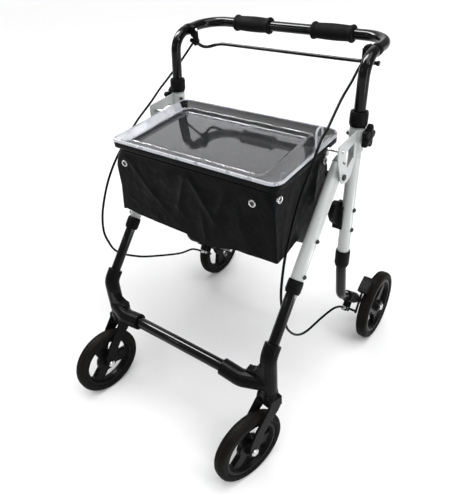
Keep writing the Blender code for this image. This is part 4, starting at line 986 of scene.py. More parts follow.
class ROLLATOR_OT_tubes(bpy.types.Operator):
    """Uprights, legs, lower tubes, cross tubes and the handle's tube, as drawn tubes with rounded lips"""

    bl_idname = "rollator.tubes"
    bl_label = "Tubes"
    bl_options = {"REGISTER", "UNDO"}

    def execute(self, context):
        upright_wall, leg_wall = UPRIGHT_RADIUS - INNER_RADIUS, LEG_RADIUS - INNER_RADIUS
        for side, sign in SIDES:
            upright = [upright_at(sign, height) for height in (UPRIGHT_BOTTOM, UPRIGHT_TOP)]
            self.tube(f"upright_{side}", upright, UPRIGHT_RADIUS, "white_paint", upright_wall)
            leg = [leg_at(sign, height) for height in (LEG_BOTTOM, LEG_TOP)]
            self.tube(f"front_leg_{side}", leg, LEG_RADIUS, "white_paint", leg_wall)
            lower = [leg_at(sign, height) for height in (FRONT_TUBE_BOTTOM, FRONT_TUBE_TOP)]
            self.tube(f"front_tube_{side}", lower, INNER_RADIUS, "black_paint")
            self.tube(f"rear_tube_{side}", self.rear_path(sign), INNER_RADIUS, "black_paint")
        front = [at(sign * CROSS_TUBE_HALF, CROSS_TUBE_Y, CROSS_TUBE_HEIGHT) for _, sign in SIDES]
        self.tube("front_crossbar", front, CROSS_TUBE_RADIUS, "black_paint")
        rear = [at(sign * CROSSBAR_HALF, CROSSBAR_Y, CROSSBAR_HEIGHT) for _, sign in SIDES]
        self.tube("rear_crossbar", rear, CROSSBAR_RADIUS, "black_paint")
        self.tube("handle_tube", self.handle_path(), INNER_RADIUS, "black_paint")
        return {"FINISHED"}

    def tube(self, node, path, radius, slot, wall=WALL):
        piece(f"{node}_drawn", tube_mesh(node, path, radius, wall), slot, node)

    def rear_path(self, sign):
        """From inside the upright over the knee and the elbow to just past the wheel's axle."""
        axle, elbow = rear_axle_point(sign), rear_elbow(sign)
        past = axle + (axle - elbow).normalized() * REAR_TUBE_PAST_AXLE
        corners = [upright_at(sign, REAR_TUBE_TOP), upright_at(sign, REAR_KNEE_HEIGHT), elbow, past]
        return filleted(corners, [REAR_KNEE_RADIUS, REAR_ELBOW_RADIUS])

    def handle_path(self):
        """From inside one upright over the top to the other."""
        corners, radii = [], []
        for sign in (1, -1):
            rear_corner = at(sign * UPRIGHT_X, HANDLE_Y, HANDLE_HEIGHT)
            run = [upright_at(sign, HANDLE_BOTTOM), upright_at(sign, HANDLE_HEIGHT), rear_corner]
            bends = [HANDLE_FRONT_BEND, HANDLE_CORNER_BEND]
            corners += run if sign > 0 else run[::-1]
            radii += bends if sign > 0 else bends[::-1]
        return filleted(corners, radii)


class ROLLATOR_OT_collars(bpy.types.Operator):
    """Moulded collars at the tubes' ends, each with a raised band"""

    bl_idname = "rollator.collars"
    bl_label = "Collars"
    bl_options = {"REGISTER", "UNDO"}

    RIB = 0.0008
    STEP = 0.0045
    TAPER = 0.0004

    def execute(self, context):
        for side, sign in SIDES:
            for name, place, bottom, top, radius in (
                ("height_collar", upright_at, HEIGHT_COLLAR_BOTTOM, HEIGHT_COLLAR_TOP, HEIGHT_COLLAR_RADIUS),
                ("rear_collar", upright_at, REAR_COLLAR_BOTTOM, REAR_COLLAR_TOP, COLLAR_RADIUS),
                ("front_collar", leg_at, FRONT_COLLAR_BOTTOM, FRONT_COLLAR_TOP, COLLAR_RADIUS),
            ):
                self.collar(f"{name}_{side}", place(sign, bottom), place(sign, top), radius)
        return {"FINISHED"}

    def collar(self, node, start, end, radius):
        length = (end - start).length
        inside = INNER_RADIUS + GAP
        band = radius + self.RIB - self.TAPER
        profile = [
            (inside, 0.0),
            (radius - 0.0012, 0.0),
            (radius - self.TAPER, self.STEP),
            (band, self.STEP + self.RIB),
            (band, length - self.STEP),
            (radius, length - self.STEP + self.RIB),
            (radius - self.TAPER, length),
            (inside, length),
        ]
        mesh = turned_mesh(node, profile, 0.0007, start, end - start, 56, closed=True)
        piece(f"{node}_moulded", mesh, "black_plastic", node)


# Castings, forks and brackets


class ROLLATOR_OT_castings(bpy.types.Operator):
    """Corner castings and caster forks, with moulded edges"""

    bl_idname = "rollator.castings"
    bl_label = "Castings and forks"
    bl_options = {"REGISTER", "UNDO"}

    def execute(self, context):
        for side, _ in SIDES:
            cast_copy(f"corner_casting_{side}", "gloss_plastic", 0.0009, 6)
            cast_copy(f"caster_fork_{side}", "gloss_plastic", 0.0008, 5)
        return {"FINISHED"}


class ROLLATOR_OT_brackets(bpy.types.Operator):
    """Side plates, crossbar clamps and brake mouldings"""

    bl_idname = "rollator.brackets"
    bl_label = "Brackets"
    bl_options = {"REGISTER", "UNDO"}

    BRACKET_TOP = 0.6462

    def execute(self, context):
        for side, _ in SIDES:
            cast_copy(f"fold_bracket_{side}", "white_paint", 0.0006, 3, self.BRACKET_TOP)
            cast_copy(f"crossbar_clamp_{side}", "black_plastic", 0.0007, 4)
            cast_copy(f"brake_bracket_{side}", "black_plastic", 0.0006, 3)
            cast_copy(f"brake_shoe_{side}", "black_plastic", 0.0006, 4)
        return {"FINISHED"}


# Wheels and tyres


class ROLLATOR_OT_wheels(bpy.types.Operator):
    """Four moulded wheels with three openings each, and their tyres"""

    bl_idname = "rollator.wheels"
    bl_label = "Wheels"
    bl_options = {"REGISTER", "UNDO"}

    EDGE = 0.0012
    CORNER = 0.0065
    BEAD = 0.0011
    BEAD_OUT = 1.6
    OUTER_STEPS = 20
    INNER_STEPS = 6
    WEB_SIDES = 96
    WEB_IN_RIM = 0.002
    RIM_GAP = 0.0002

    def execute(self, context):
        for side, _ in SIDES:
            for end, radius, hub_half, angles in (
                ("front", FRONT_WHEEL_RADIUS, FRONT_HUB_HALF, FRONT_WHEEL_TURN),
                ("rear", REAR_WHEEL_RADIUS, REAR_HUB_HALF, REAR_WHEEL_TURN),
            ):
                self.wheel(f"{end}_wheel_{side}", f"{end}_tyre_{side}", radius, hub_half, angles[side])
        return {"FINISHED"}

    def wheel(self, node, tyre_node, radius, hub_half, turn):
        centre, axis = joint_place(f"{node}_spin")
        place = Matrix((axis, Z_AXIS.cross(axis), Z_AXIS)).transposed().to_4x4()
        place.translation = centre
        rim_inside = radius - TYRE_DEPTH - RIM_DEPTH
        step = 360 / WINDOW_COUNT
        outlines = [self.window(rim_inside, turn + step * index) for index in range(WINDOW_COUNT)]
        parts = [self.web(node, outlines, rim_inside), self.rim(node, radius), self.hub(node, hub_half)]
        for outline in outlines:
            parts += [self.bead(node, outline, sign * SPOKE_WEB / 2) for sign in (-1, 1)]
        mesh = joined_mesh(node, parts)
        mesh.transform(place)
        piece(f"{node}_moulded", mesh, "gloss_plastic", node)
        tyre = self.tyre(tyre_node, radius)
        tyre.transform(place)
        piece(f"{tyre_node}_rubber", tyre, "tyre_rubber", tyre_node, sharp=60.0)

    def window(self, rim_inside, middle):
        """One opening's outline with round corners, in the wheel's own plane."""
        half_turn = 180.0 / WINDOW_COUNT
        half_outer = half_turn - math.degrees(math.asin(SPOKE_WIDTH / 2 / rim_inside))
        half_inner = half_turn - math.degrees(math.asin(SPOKE_WIDTH / 2 / WINDOW_INNER))
        outer = arc((0, 0), rim_inside, middle - half_outer, middle + half_outer, self.OUTER_STEPS)
        inner = arc((0, 0), WINDOW_INNER, middle + half_inner, middle - half_inner, self.INNER_STEPS)
        # The points beside a corner go, so that the corner has room to be rounded
        outline = [outer[0], *outer[3:-3], outer[-1], inner[0], *inner[2:-2], inner[-1]]
        return softened(outline, self.CORNER, closed=True, steps=6)

    def web(self, name, outlines, rim_inside):
        """The flat spoke plate, with openings and softly rounded edges."""
        curve = bpy.data.curves.new(name, "CURVE")
        curve.dimensions = "2D"
        curve.fill_mode = "BOTH"
        curve.extrude = SPOKE_WEB / 2 - self.EDGE
        curve.bevel_depth = self.EDGE
        curve.bevel_resolution = 2
        curve.offset = -self.EDGE
        sides = self.WEB_SIDES
        circle = arc((0, 0), rim_inside + self.WEB_IN_RIM, 0, 360 - 360 / sides, sides - 1)
        for outline in (circle, *outlines):
            spline = curve.splines.new("POLY")
            spline.points.add(len(outline) - 1)
            for point, (y, z) in zip(spline.points, outline):
                point.co = (y, z, 0.0, 1.0)
            spline.use_cyclic_u = True
        mesh = evaluated_mesh(linked(name, curve))
        mesh.transform(Matrix((Z_AXIS, X_AXIS, Y_AXIS)).to_4x4())
        mesh.materials.clear()
        return mesh

    def rim(self, name, radius):
        outside = radius - TYRE_DEPTH - self.RIM_GAP
        inside = radius - TYRE_DEPTH - RIM_DEPTH
        half = RIM_WIDTH / 2
        middle = SPOKE_WEB / 2
        profile = [
            (inside + 0.0005, -middle + 0.001),
            (inside + 0.0005, middle - 0.001),
            (inside + 0.0040, half),
            (outside, half),
            (outside, -half),
            (inside + 0.0040, -half),
        ]
        return turned_mesh(name, profile, 0.0012, ORIGIN, X_AXIS, 96, closed=True)

    def hub(self, name, half):
        middle = SPOKE_WEB / 2
        shape = [
            (HUB_RADIUS + 0.0060, middle - 0.0005),
            (HUB_RADIUS + 0.0005, middle + 0.0010),
            (HUB_RADIUS - 0.0010, half),
            (HUB_RADIUS - 0.0045, half),
            (HUB_RADIUS - 0.0055, half - 0.0018),
            (AXLE_RADIUS + 0.0004, half - 0.0018),
        ]
        return turned_mesh(name, both_sides(shape), 0.0009, ORIGIN, X_AXIS, 72, closed=True)

    def bead(self, name, outline, along):
        """A raised edge round an opening on one face of the spoke plate."""
        middle = sum((Vector(point) for point in outline), Vector((0, 0))) / len(outline)
        path = []
        for point in outline:
            outward = (Vector(point) - middle).normalized() * (self.BEAD * self.BEAD_OUT)
            path.append(Vector((along, point[0] + outward.x, point[1] + outward.y)))
        return upright_loop(name, path, self.BEAD, 10)

    def tyre(self, name, radius):
        """A solid tyre with a round shoulder, a flat tread and two grooves."""
        half = TYRE_WIDTH / 2
        groove = sizes().tread_groove
        inside = radius - TYRE_DEPTH
        side = [
            (inside, half - 0.0030),
            (inside + 0.0020, half - 0.0012),
            (radius - 0.0100, half),
            (radius - 0.0062, half - 0.0003),
            (radius - 0.0030, half - 0.0021),
            (radius - 0.0010, half - 0.0051),
            (radius - 0.0003, half - 0.0070),
            (radius - groove - 0.0003, half - 0.0074),
            (radius - groove - 0.0003, half - 0.0084),
            (radius, half - 0.0088),
        ]
        return turned_mesh(name, both_sides(side), 0.0004, ORIGIN, X_AXIS, 128, closed=True, steps=2)


# Bolts, pins and axles


class ROLLATOR_OT_bolts(bpy.types.Operator):
    """Axles, fold pivots, hanger pins, screws and leg caps"""

    bl_idname = "rollator.bolts"
    bl_label = "Bolts and caps"
    bl_options = {"REGISTER", "UNDO"}

    LEG_BOLTS = (0.4765, 0.4240)
    LEG_BOLT_WAY = (0.985, -0.174, 0.161)
    LEG_BOSS_RADIUS = 0.0052
    LEG_BOSS_SUNK = 0.0008
    LEG_BOLT_LIFT = 0.0018
    LEG_BOLT_RADIUS = 0.0040
    UPRIGHT_BOLTS = (0.4700, 0.4235)
    UPRIGHT_BOLT_SUNK = 0.0006
    UPRIGHT_BOLT_RADIUS = 0.0046
    EAR_PLACE = (0.2112, 0.1165, 0.6355)
    EAR_WAY = (-0.72, -0.69, 0.0)
    EAR_RADIUS = 0.0062
    EAR_SUNK = 0.0030
    EAR_HEIGHT = 0.0058
    EAR_BOLT_LIFT = 0.0020
    EAR_BOLT_RADIUS = 0.0036
    BOSS_HEIGHT = 0.0026
    WASHER_LIP = 0.0006
    AXLE_HEAD = 0.0040
    AXLE_HEAD_RADIUS = 0.0075
    AXLE_SLEEVE_RADIUS = 0.0070
    AXLE_CAP_RADIUS = 0.0090
    AXLE_SOCKET = 0.0012
    PIVOT_RADIUS = 0.0040
    CAP_RISE = 0.0135
    CAP_SIDES = 40
    CAP_TIP = 0.0085
    # The leg cap's rings: (distance past the leg's end, radius, share of the wedge's rise)
    CAP_RINGS = (
        (-0.010, INNER_RADIUS - 0.0004, 0.0),
        (0.0004, INNER_RADIUS - 0.0002, 0.0),
        (0.0006, LEG_RADIUS + 0.0002, 0.0),
        (0.0020, LEG_RADIUS + 0.0004, 0.0),
        (0.0034, LEG_RADIUS - 0.0006, 0.25),
        (0.0052, LEG_RADIUS - 0.0022, 0.8),
        (0.0058, LEG_RADIUS - 0.0045, 0.9),
    )

    def execute(self, context):
        for side, sign in SIDES:
            self.rear_axle(side, sign)
            self.front_axle(side)
            self.fold_pivot(side, sign)
            self.hanger_pin(side, sign)
            self.leg_cap(side, sign)
            self.leg_bolts(side, sign)
            self.upright_bolts(side, sign)
            self.clamp_ear(side, sign)
        return {"FINISHED"}

    def rear_axle(self, side, sign):
        head = REAR_TUBE_X - INNER_RADIUS - GAP
        tube_outside = REAR_TUBE_X + INNER_RADIUS + GAP
        hub_inside = REAR_WHEEL_X - REAR_HUB_HALF - GAP
        hub_outside = REAR_WHEEL_X + REAR_HUB_HALF + GAP
        profile = [
            (0.0, head - self.AXLE_HEAD),
            (self.AXLE_HEAD_RADIUS - 0.0010, head - self.AXLE_HEAD),
            (self.AXLE_HEAD_RADIUS, head - self.AXLE_HEAD + 0.0010),
            (self.AXLE_HEAD_RADIUS, head),
            (AXLE_RADIUS, head),
            (AXLE_RADIUS, tube_outside),
            (self.AXLE_SLEEVE_RADIUS, tube_outside),
            (self.AXLE_SLEEVE_RADIUS, hub_inside),
            (AXLE_RADIUS, hub_inside),
            (AXLE_RADIUS, hub_outside),
            (self.AXLE_CAP_RADIUS, hub_outside),
            (self.AXLE_CAP_RADIUS, REAR_AXLE_CAP_X - 0.0020),
            (0.0072, REAR_AXLE_CAP_X - 0.0002),
            (0.0045, REAR_AXLE_CAP_X),
            (0.0040, REAR_AXLE_CAP_X - self.AXLE_SOCKET),
            (0.0, REAR_AXLE_CAP_X - self.AXLE_SOCKET),
        ]
        centre = at(0, REAR_AXLE_Y, REAR_WHEEL_RADIUS)
        mesh = turned_mesh(side, profile, 0.0004, centre, X_AXIS * sign, 40)
        piece(f"rear_axle_{side}_turned", mesh, "steel", f"rear_axle_{side}")

    def front_axle(self, side):
        centre, axis = joint_place(f"front_wheel_{side}_spin")
        outside = FORK_OUTSIDE + GAP
        profile = [
            (0.0, -outside - 0.0062),
            (0.0030, -outside - 0.0062),
            (0.0034, -outside - 0.0050),
            (0.0068, -outside - 0.0050),
            (0.0070, -outside - 0.0010),
            (0.0082, -outside - 0.0008),
            (0.0082, -outside),
            (AXLE_RADIUS, -outside),
            (AXLE_RADIUS, outside),
            (0.0085, outside),
            (0.0085, outside + 0.0012),
            (0.0072, outside + 0.0034),
            (0.0040, outside + 0.0048),
            (0.0, outside + 0.0050),
        ]
        mesh = turned_mesh(side, profile, 0.0004, centre, axis, 40)
        piece(f"front_axle_{side}_turned", mesh, "steel", f"front_axle_{side}")

    def fold_pivot(self, side, sign):
        low, high = (Vector(corner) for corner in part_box(f"fold_pivot_{side}"))
        centre = leg_at(sign, FOLD_PIVOT_HEIGHT)
        inner, outer = sorted((abs(low.x), abs(high.x)))
        profile = [
            (0.0, inner),
            (0.0058, inner),
            (0.0060, inner + 0.0030),
            (self.PIVOT_RADIUS, inner + 0.0031),
            (self.PIVOT_RADIUS, outer - 0.0034),
            (0.0062, outer - 0.0033),
            (0.0060, outer - 0.0012),
            (0.0048, outer - 0.0001),
            (0.0030, outer),
            (0.0026, outer - 0.0016),
            (0.0, outer - 0.0016),
        ]
        start = Vector((0, centre.y, centre.z))
        mesh = turned_mesh(side, profile, 0.0004, start, X_AXIS * sign, 36)
        piece(f"fold_pivot_{side}_turned", mesh, "dark_steel", f"fold_pivot_{side}")

    def hanger_pin(self, side, sign):
        corners = (
            at(sign * PIN_OUTER, PIN_Y, PIN_HEIGHT),
            at(sign * PIN_DROP_X, PIN_Y, PIN_HEIGHT),
            at(sign * PIN_DROP_X, PIN_Y, HOOP_HEIGHT),
            at(sign * (HOOP_HALF + HOOP_RADIUS + GAP), PIN_Y, HOOP_HEIGHT),
        )
        mesh = tube_mesh(side, filleted(corners, [PIN_BEND, PIN_BEND]), PIN_RADIUS, sides=20)
        piece(f"hanger_pin_{side}_bent", mesh, "steel", f"hanger_pin_{side}")

    def leg_cap(self, side, sign):
        """A wedge-shaped plug in the leg's top, with a lip over the tube's edge."""
        top = leg_at(sign, LEG_TOP)
        along = (leg_at(sign, LEG_TOP) - leg_at(sign, LEG_BOTTOM)).normalized()
        up = Vector((0, -along.z, along.y))
        rings = []
        for depth, radius, slant in self.CAP_RINGS:
            ring = []
            for angle in turns(self.CAP_SIDES):
                rise = max(0.0, math.sin(angle)) * slant * self.CAP_RISE * radius / LEG_RADIUS
                spot = top + (X_AXIS * math.cos(angle) + up * math.sin(angle)) * radius
                ring.append(spot + along * (depth + rise))
            rings.append(ring)
        rings.append([top + along * self.CAP_TIP])
        mesh = skin(side, rings)
        mesh.materials.append(finish("grey_plastic"))
        piece(f"leg_cap_{side}", mesh, "white_paint", body="front_frame")

    def leg_bolts(self, side, sign):
        x, y, z = self.LEG_BOLT_WAY
        way = Vector((sign * x, y, z)).normalized()
        for index, height in enumerate(self.LEG_BOLTS):
            start = leg_at(sign, height) + way * (LEG_RADIUS - self.LEG_BOSS_SUNK)
            self.boss(f"leg_spacer_{side}_{index}", start, way, self.LEG_BOSS_RADIUS, "front_frame")
            head = start + way * self.LEG_BOLT_LIFT
            self.screw(f"leg_bolt_{side}_{index}", head, way, self.LEG_BOLT_RADIUS, "front_frame")

    def upright_bolts(self, side, sign):
        way = X_AXIS * sign
        for index, height in enumerate(self.UPRIGHT_BOLTS):
            start = upright_at(sign, height) + way * (UPRIGHT_RADIUS - self.UPRIGHT_BOLT_SUNK)
            self.screw(f"upright_bolt_{side}_{index}", start, way, self.UPRIGHT_BOLT_RADIUS, "rear_frame")

    def clamp_ear(self, side, sign):
        """The ear beside the height collar, with the screw that closes the clamp."""
        x, y, z = self.EAR_WAY
        way = Vector((sign * x, y, z))
        ear = at(sign * self.EAR_PLACE[0], *self.EAR_PLACE[1:])
        start = ear - way * self.EAR_SUNK
        self.boss(f"clamp_ear_{side}", start, way, self.EAR_RADIUS, "rear_frame", self.EAR_HEIGHT)
        head = ear + way * self.EAR_BOLT_LIFT
        self.screw(f"clamp_screw_{side}", head, way, self.EAR_BOLT_RADIUS, "rear_frame")

    def boss(self, name, start, way, radius, body, height=BOSS_HEIGHT):
        """A white boss under a screw's head."""
        profile = [(0.0, 0.0), (radius, 0.0), (radius - 0.0003, height), (0.0, height)]
        mesh = turned_mesh(name, profile, 0.0007, start, way, 32)
        piece(name, mesh, "white_paint", body=body)

    def screw(self, name, start, way, radius, body):
        """A round head on a washer, with a socket."""
        profile = [
            (0.0, 0.0),
            (radius + self.WASHER_LIP, 0.0),
            (radius + self.WASHER_LIP, 0.0010),
            (radius, 0.0011),
            (radius, 0.0028),
            (radius - 0.0014, 0.0042),
            (radius - 0.0022, 0.0044),
            (radius - 0.0024, 0.0030),
            (0.0, 0.0030),
        ]
        mesh = turned_mesh(name, profile, 0.0003, start, way, 28)
        piece(name, mesh, "dark_steel", body=body)


# Handle fittings


class ROLLATOR_OT_grips(bpy.types.Operator):
    """Foam grips with a barrel shape and rounded flares"""

    bl_idname = "rollator.grips"
    bl_label = "Grips"
    bl_options = {"REGISTER", "UNDO"}

    def execute(self, context):
        length = GRIP_OUTER - GRIP_INNER
        end = [
            (INNER_RADIUS + TUBE_FIT, 0.0003),
            (GRIP_FLARE - 0.0040, 0.0),
            (GRIP_FLARE - 0.0012, 0.0009),
            (GRIP_FLARE, 0.0030),
            (GRIP_FLARE - 0.0002, 0.0062),
            (GRIP_RADIUS - 0.0002, 0.0105),
            (GRIP_RADIUS - 0.0003, 0.0160),
            (GRIP_RADIUS + 0.0004, 0.0300),
            (GRIP_RADIUS + 0.0007, length / 2),
        ]
        profile = end + [(radius, length - along) for radius, along in reversed(end[:-1])]
        for side, sign in SIDES:
            start = at(sign * GRIP_INNER, HANDLE_Y, HANDLE_HEIGHT)
            mesh = turned_mesh(side, profile, 0.0030, start, X_AXIS * sign, 64, steps=5)
            grip = piece(f"grip_{side}_foam", mesh, "grip_foam", f"grip_{side}", sharp=70.0)
        return {"FINISHED"}


class ROLLATOR_OT_knobs(bpy.types.Operator):
    """Star knobs with pillowed faces"""

    bl_idname = "rollator.knobs"
    bl_label = "Star knobs"
    bl_options = {"REGISTER", "UNDO"}

    STEPS = 90
    # How much deeper the hollows between the lobes are than the lobes are high
    HOLLOW = 1.35
    # The neck's rings: (x, radius)
    NECK = ((KNOB_NECK_X, KNOB_NECK_RADIUS), (KNOB_INNER_X + 0.001, KNOB_NECK_RADIUS + 0.0015))
    # The star's rings: (share of its thickness, share of its radius)
    PILLOW = (
        (0.04, 0.60),
        (0.0, 0.88),
        (0.10, 0.975),
        (0.25, 1.0),
        (0.70, 1.0),
        (0.88, 0.965),
        (0.98, 0.88),
        (1.03, 0.70),
        (1.06, 0.45),
    )
    # The button on its face: (height over the face, radius)
    BUTTON = ((0.0004, 0.0088), (0.0014, 0.0080), (0.0019, 0.0050))
    BUTTON_TOP = 0.0020

    def execute(self, context):
        thick = KNOB_OUTER_X - KNOB_INNER_X
        for side, sign in SIDES:
            centre = upright_at(sign, KNOB_HEIGHT)
            rings = [self.circle(centre, sign, x, radius) for x, radius in self.NECK]
            for share, grow in self.PILLOW:
                rings.append(self.star(centre, sign, KNOB_INNER_X + thick * share, grow))
            rings += [self.circle(centre, sign, KNOB_OUTER_X + x, radius) for x, radius in self.BUTTON]
            rings.append([Vector((sign * (KNOB_OUTER_X + self.BUTTON_TOP), centre.y, centre.z))])
            mesh = skin(side, rings)
            piece(f"height_knob_{side}_star", mesh, "black_plastic", f"height_knob_{side}", sharp=50.0)
        return {"FINISHED"}

    def circle(self, centre, sign, x, radius):
        return [
            Vector((sign * x, centre.y + radius * math.cos(a), centre.z + radius * math.sin(a)))
            for a in turns(self.STEPS)
        ]

    def star(self, centre, sign, x, grow):
        ring = []
        for angle in turns(self.STEPS):
            wave = math.cos(KNOB_LOBES * angle)
            radius = (KNOB_RADIUS + KNOB_LOBE * (wave if wave > 0 else self.HOLLOW * wave)) * grow
            y = centre.y + radius * math.cos(angle)
            z = centre.z + radius * math.sin(angle)
            ring.append(Vector((sign * x, y, z)))
        return ring


class ROLLATOR_OT_brake_bar(bpy.types.Operator):
    """The wire brake bar under the grips, and the clamps on the handle that it turns in"""

    bl_idname = "rollator.brake_bar"
    bl_label = "Brake bar and clamps"
    bl_options = {"REGISTER", "UNDO"}

    RUN_HEIGHT = 0.7430
    STEPS = 200
    PIN_CAP_RADIUS = 0.0050
    PIN_CAP_LENGTH = 0.0052
    PIN_CAP_OVER = 0.0015
    WIRE_RADIUS = 0.0037
    # The bar's ends, from the straight run to the pin: the left one dips before it meets its clamp
    RIGHT_END = (
        (0.0700, BAR_Y, RUN_HEIGHT),
        (0.1400, BAR_Y, RUN_HEIGHT),
        (0.1750, 0.2078, 0.7432),
        (0.1880, 0.2045, 0.7445),
        (0.1965, 0.1960, 0.7478),
        (0.2010, 0.1870, 0.7508),
        (0.2080, BAR_PIVOT_Y, BAR_PIVOT_HEIGHT),
        (0.2200, BAR_PIVOT_Y, BAR_PIVOT_HEIGHT),
        (0.2290, BAR_PIVOT_Y, BAR_PIVOT_HEIGHT),
    )
    LEFT_END = (
        (0.0700, BAR_Y, RUN_HEIGHT),
        (0.1330, BAR_Y, RUN_HEIGHT),
        (0.1500, BAR_Y, 0.7424),
        (0.1650, 0.2075, 0.7395),
        (0.1770, 0.2062, 0.7358),
        (0.1880, 0.2035, 0.7336),
        (0.1965, 0.1985, 0.7352),
        (0.2015, 0.1925, 0.7405),
        (0.2035, 0.1870, 0.7470),
        (0.2075, 0.1837, 0.7510),
        (0.2110, BAR_PIVOT_Y, BAR_PIVOT_HEIGHT),
        (0.2150, BAR_PIVOT_Y, BAR_PIVOT_HEIGHT),
    )
    STRAP_HALF = 0.0056
    STRAP_RADIUS = INNER_RADIUS + 0.0012
    BORE_RADIUS = INNER_RADIUS + TUBE_FIT
    LUG_HALF = 0.0052
    LUG_EDGE = 0.0009
    LUG_OUTLINE = (
        (0.2135, 0.7860),
        (0.2030, 0.7832),
        (0.1992, 0.7740),
        (0.1985, 0.7480),
        (0.2000, 0.7415),
        (0.2065, 0.7415),
        (0.2085, 0.7480),
        (0.2090, 0.7600),
        (0.2145, 0.7640),
    )
    # The pin's boss: (inner x, outer x, radius)
    BOSS = (0.1968, 0.2118, 0.0058)
    BOLT_X = 0.1998
    BOLT_HEIGHT = 0.7765
    BOLT_PROFILE = ((0.0, 0.0), (0.0034, 0.0), (0.0032, 0.0020), (0.0016, 0.0026), (0.0, 0.0026))

    def execute(self, context):
        route = [at(x, y, z) for x, y, z in reversed(self.RIGHT_END)]
        route += [at(-x, y, z) for x, y, z in self.LEFT_END]
        parts = [tube_mesh("brake_bar", smooth_route(route, self.STEPS)[0], self.WIRE_RADIUS, sides=20)]
        for sign, end in ((1, self.RIGHT_END[-1]), (-1, self.LEFT_END[-1])):
            start = at(sign * (end[0] - self.PIN_CAP_OVER), BAR_PIVOT_Y, BAR_PIVOT_HEIGHT)
            cap = self.disc(self.PIN_CAP_RADIUS, self.PIN_CAP_LENGTH)
            parts.append(turned_mesh("cap", cap, 0.0015, start, X_AXIS * sign, 28))
        piece("brake_bar_wire", joined_mesh("brake_bar", parts), "black_paint", "brake_bar")
        for side, sign in SIDES:
            self.clamp(side, sign)
        return {"FINISHED"}

    def disc(self, radius, length):
        return [(0.0, 0.0), (radius, 0.0), (radius, length), (0.0, length)]

    def clamp(self, side, sign):
        """A strap round the handle's tube with a lug beside it, a boss for the pin and a screw."""
        half = self.STRAP_HALF
        strap = [
            (self.BORE_RADIUS, -half),
            (self.STRAP_RADIUS, -half),
            (self.STRAP_RADIUS, half),
            (self.BORE_RADIUS, half),
        ]
        tube = at(sign * UPRIGHT_X, BAR_PIVOT_Y, HANDLE_HEIGHT)
        ring = turned_mesh("strap", strap, 0.0006, tube, Y_AXIS, 48, closed=True)
        outline = softened(self.LUG_OUTLINE, 0.0022, closed=True)
        middle = sum(outline, Vector((0, 0))) / len(outline)
        rings = []
        for y, shrink in (
            (-self.LUG_HALF, self.LUG_EDGE),
            (self.LUG_EDGE - self.LUG_HALF, 0.0),
            (self.LUG_HALF - self.LUG_EDGE, 0.0),
            (self.LUG_HALF, self.LUG_EDGE),
        ):
            drawn = [point + (middle - point).normalized() * shrink for point in outline]
            rings.append([at(sign * x, BAR_PIVOT_Y + y, z) for x, z in drawn])
        lug = skin("lug", rings)
        inner, outer, radius = self.BOSS
        start = at(sign * inner, BAR_PIVOT_Y, BAR_PIVOT_HEIGHT)
        barrel = turned_mesh("boss", self.disc(radius, outer - inner), 0.0010, start, X_AXIS * sign, 32)
        mesh = joined_mesh(side, [ring, lug, barrel])
        piece(f"brake_clamp_{side}", mesh, "black_plastic", f"brake_pivot_{side}")
        start = at(sign * self.BOLT_X, BAR_PIVOT_Y, self.BOLT_HEIGHT)
        bolt = turned_mesh("bolt", self.BOLT_PROFILE, 0.0004, start, -X_AXIS * sign, 24)
        piece(f"clamp_bolt_{side}", bolt, "steel", body="handle")


# Brake cables


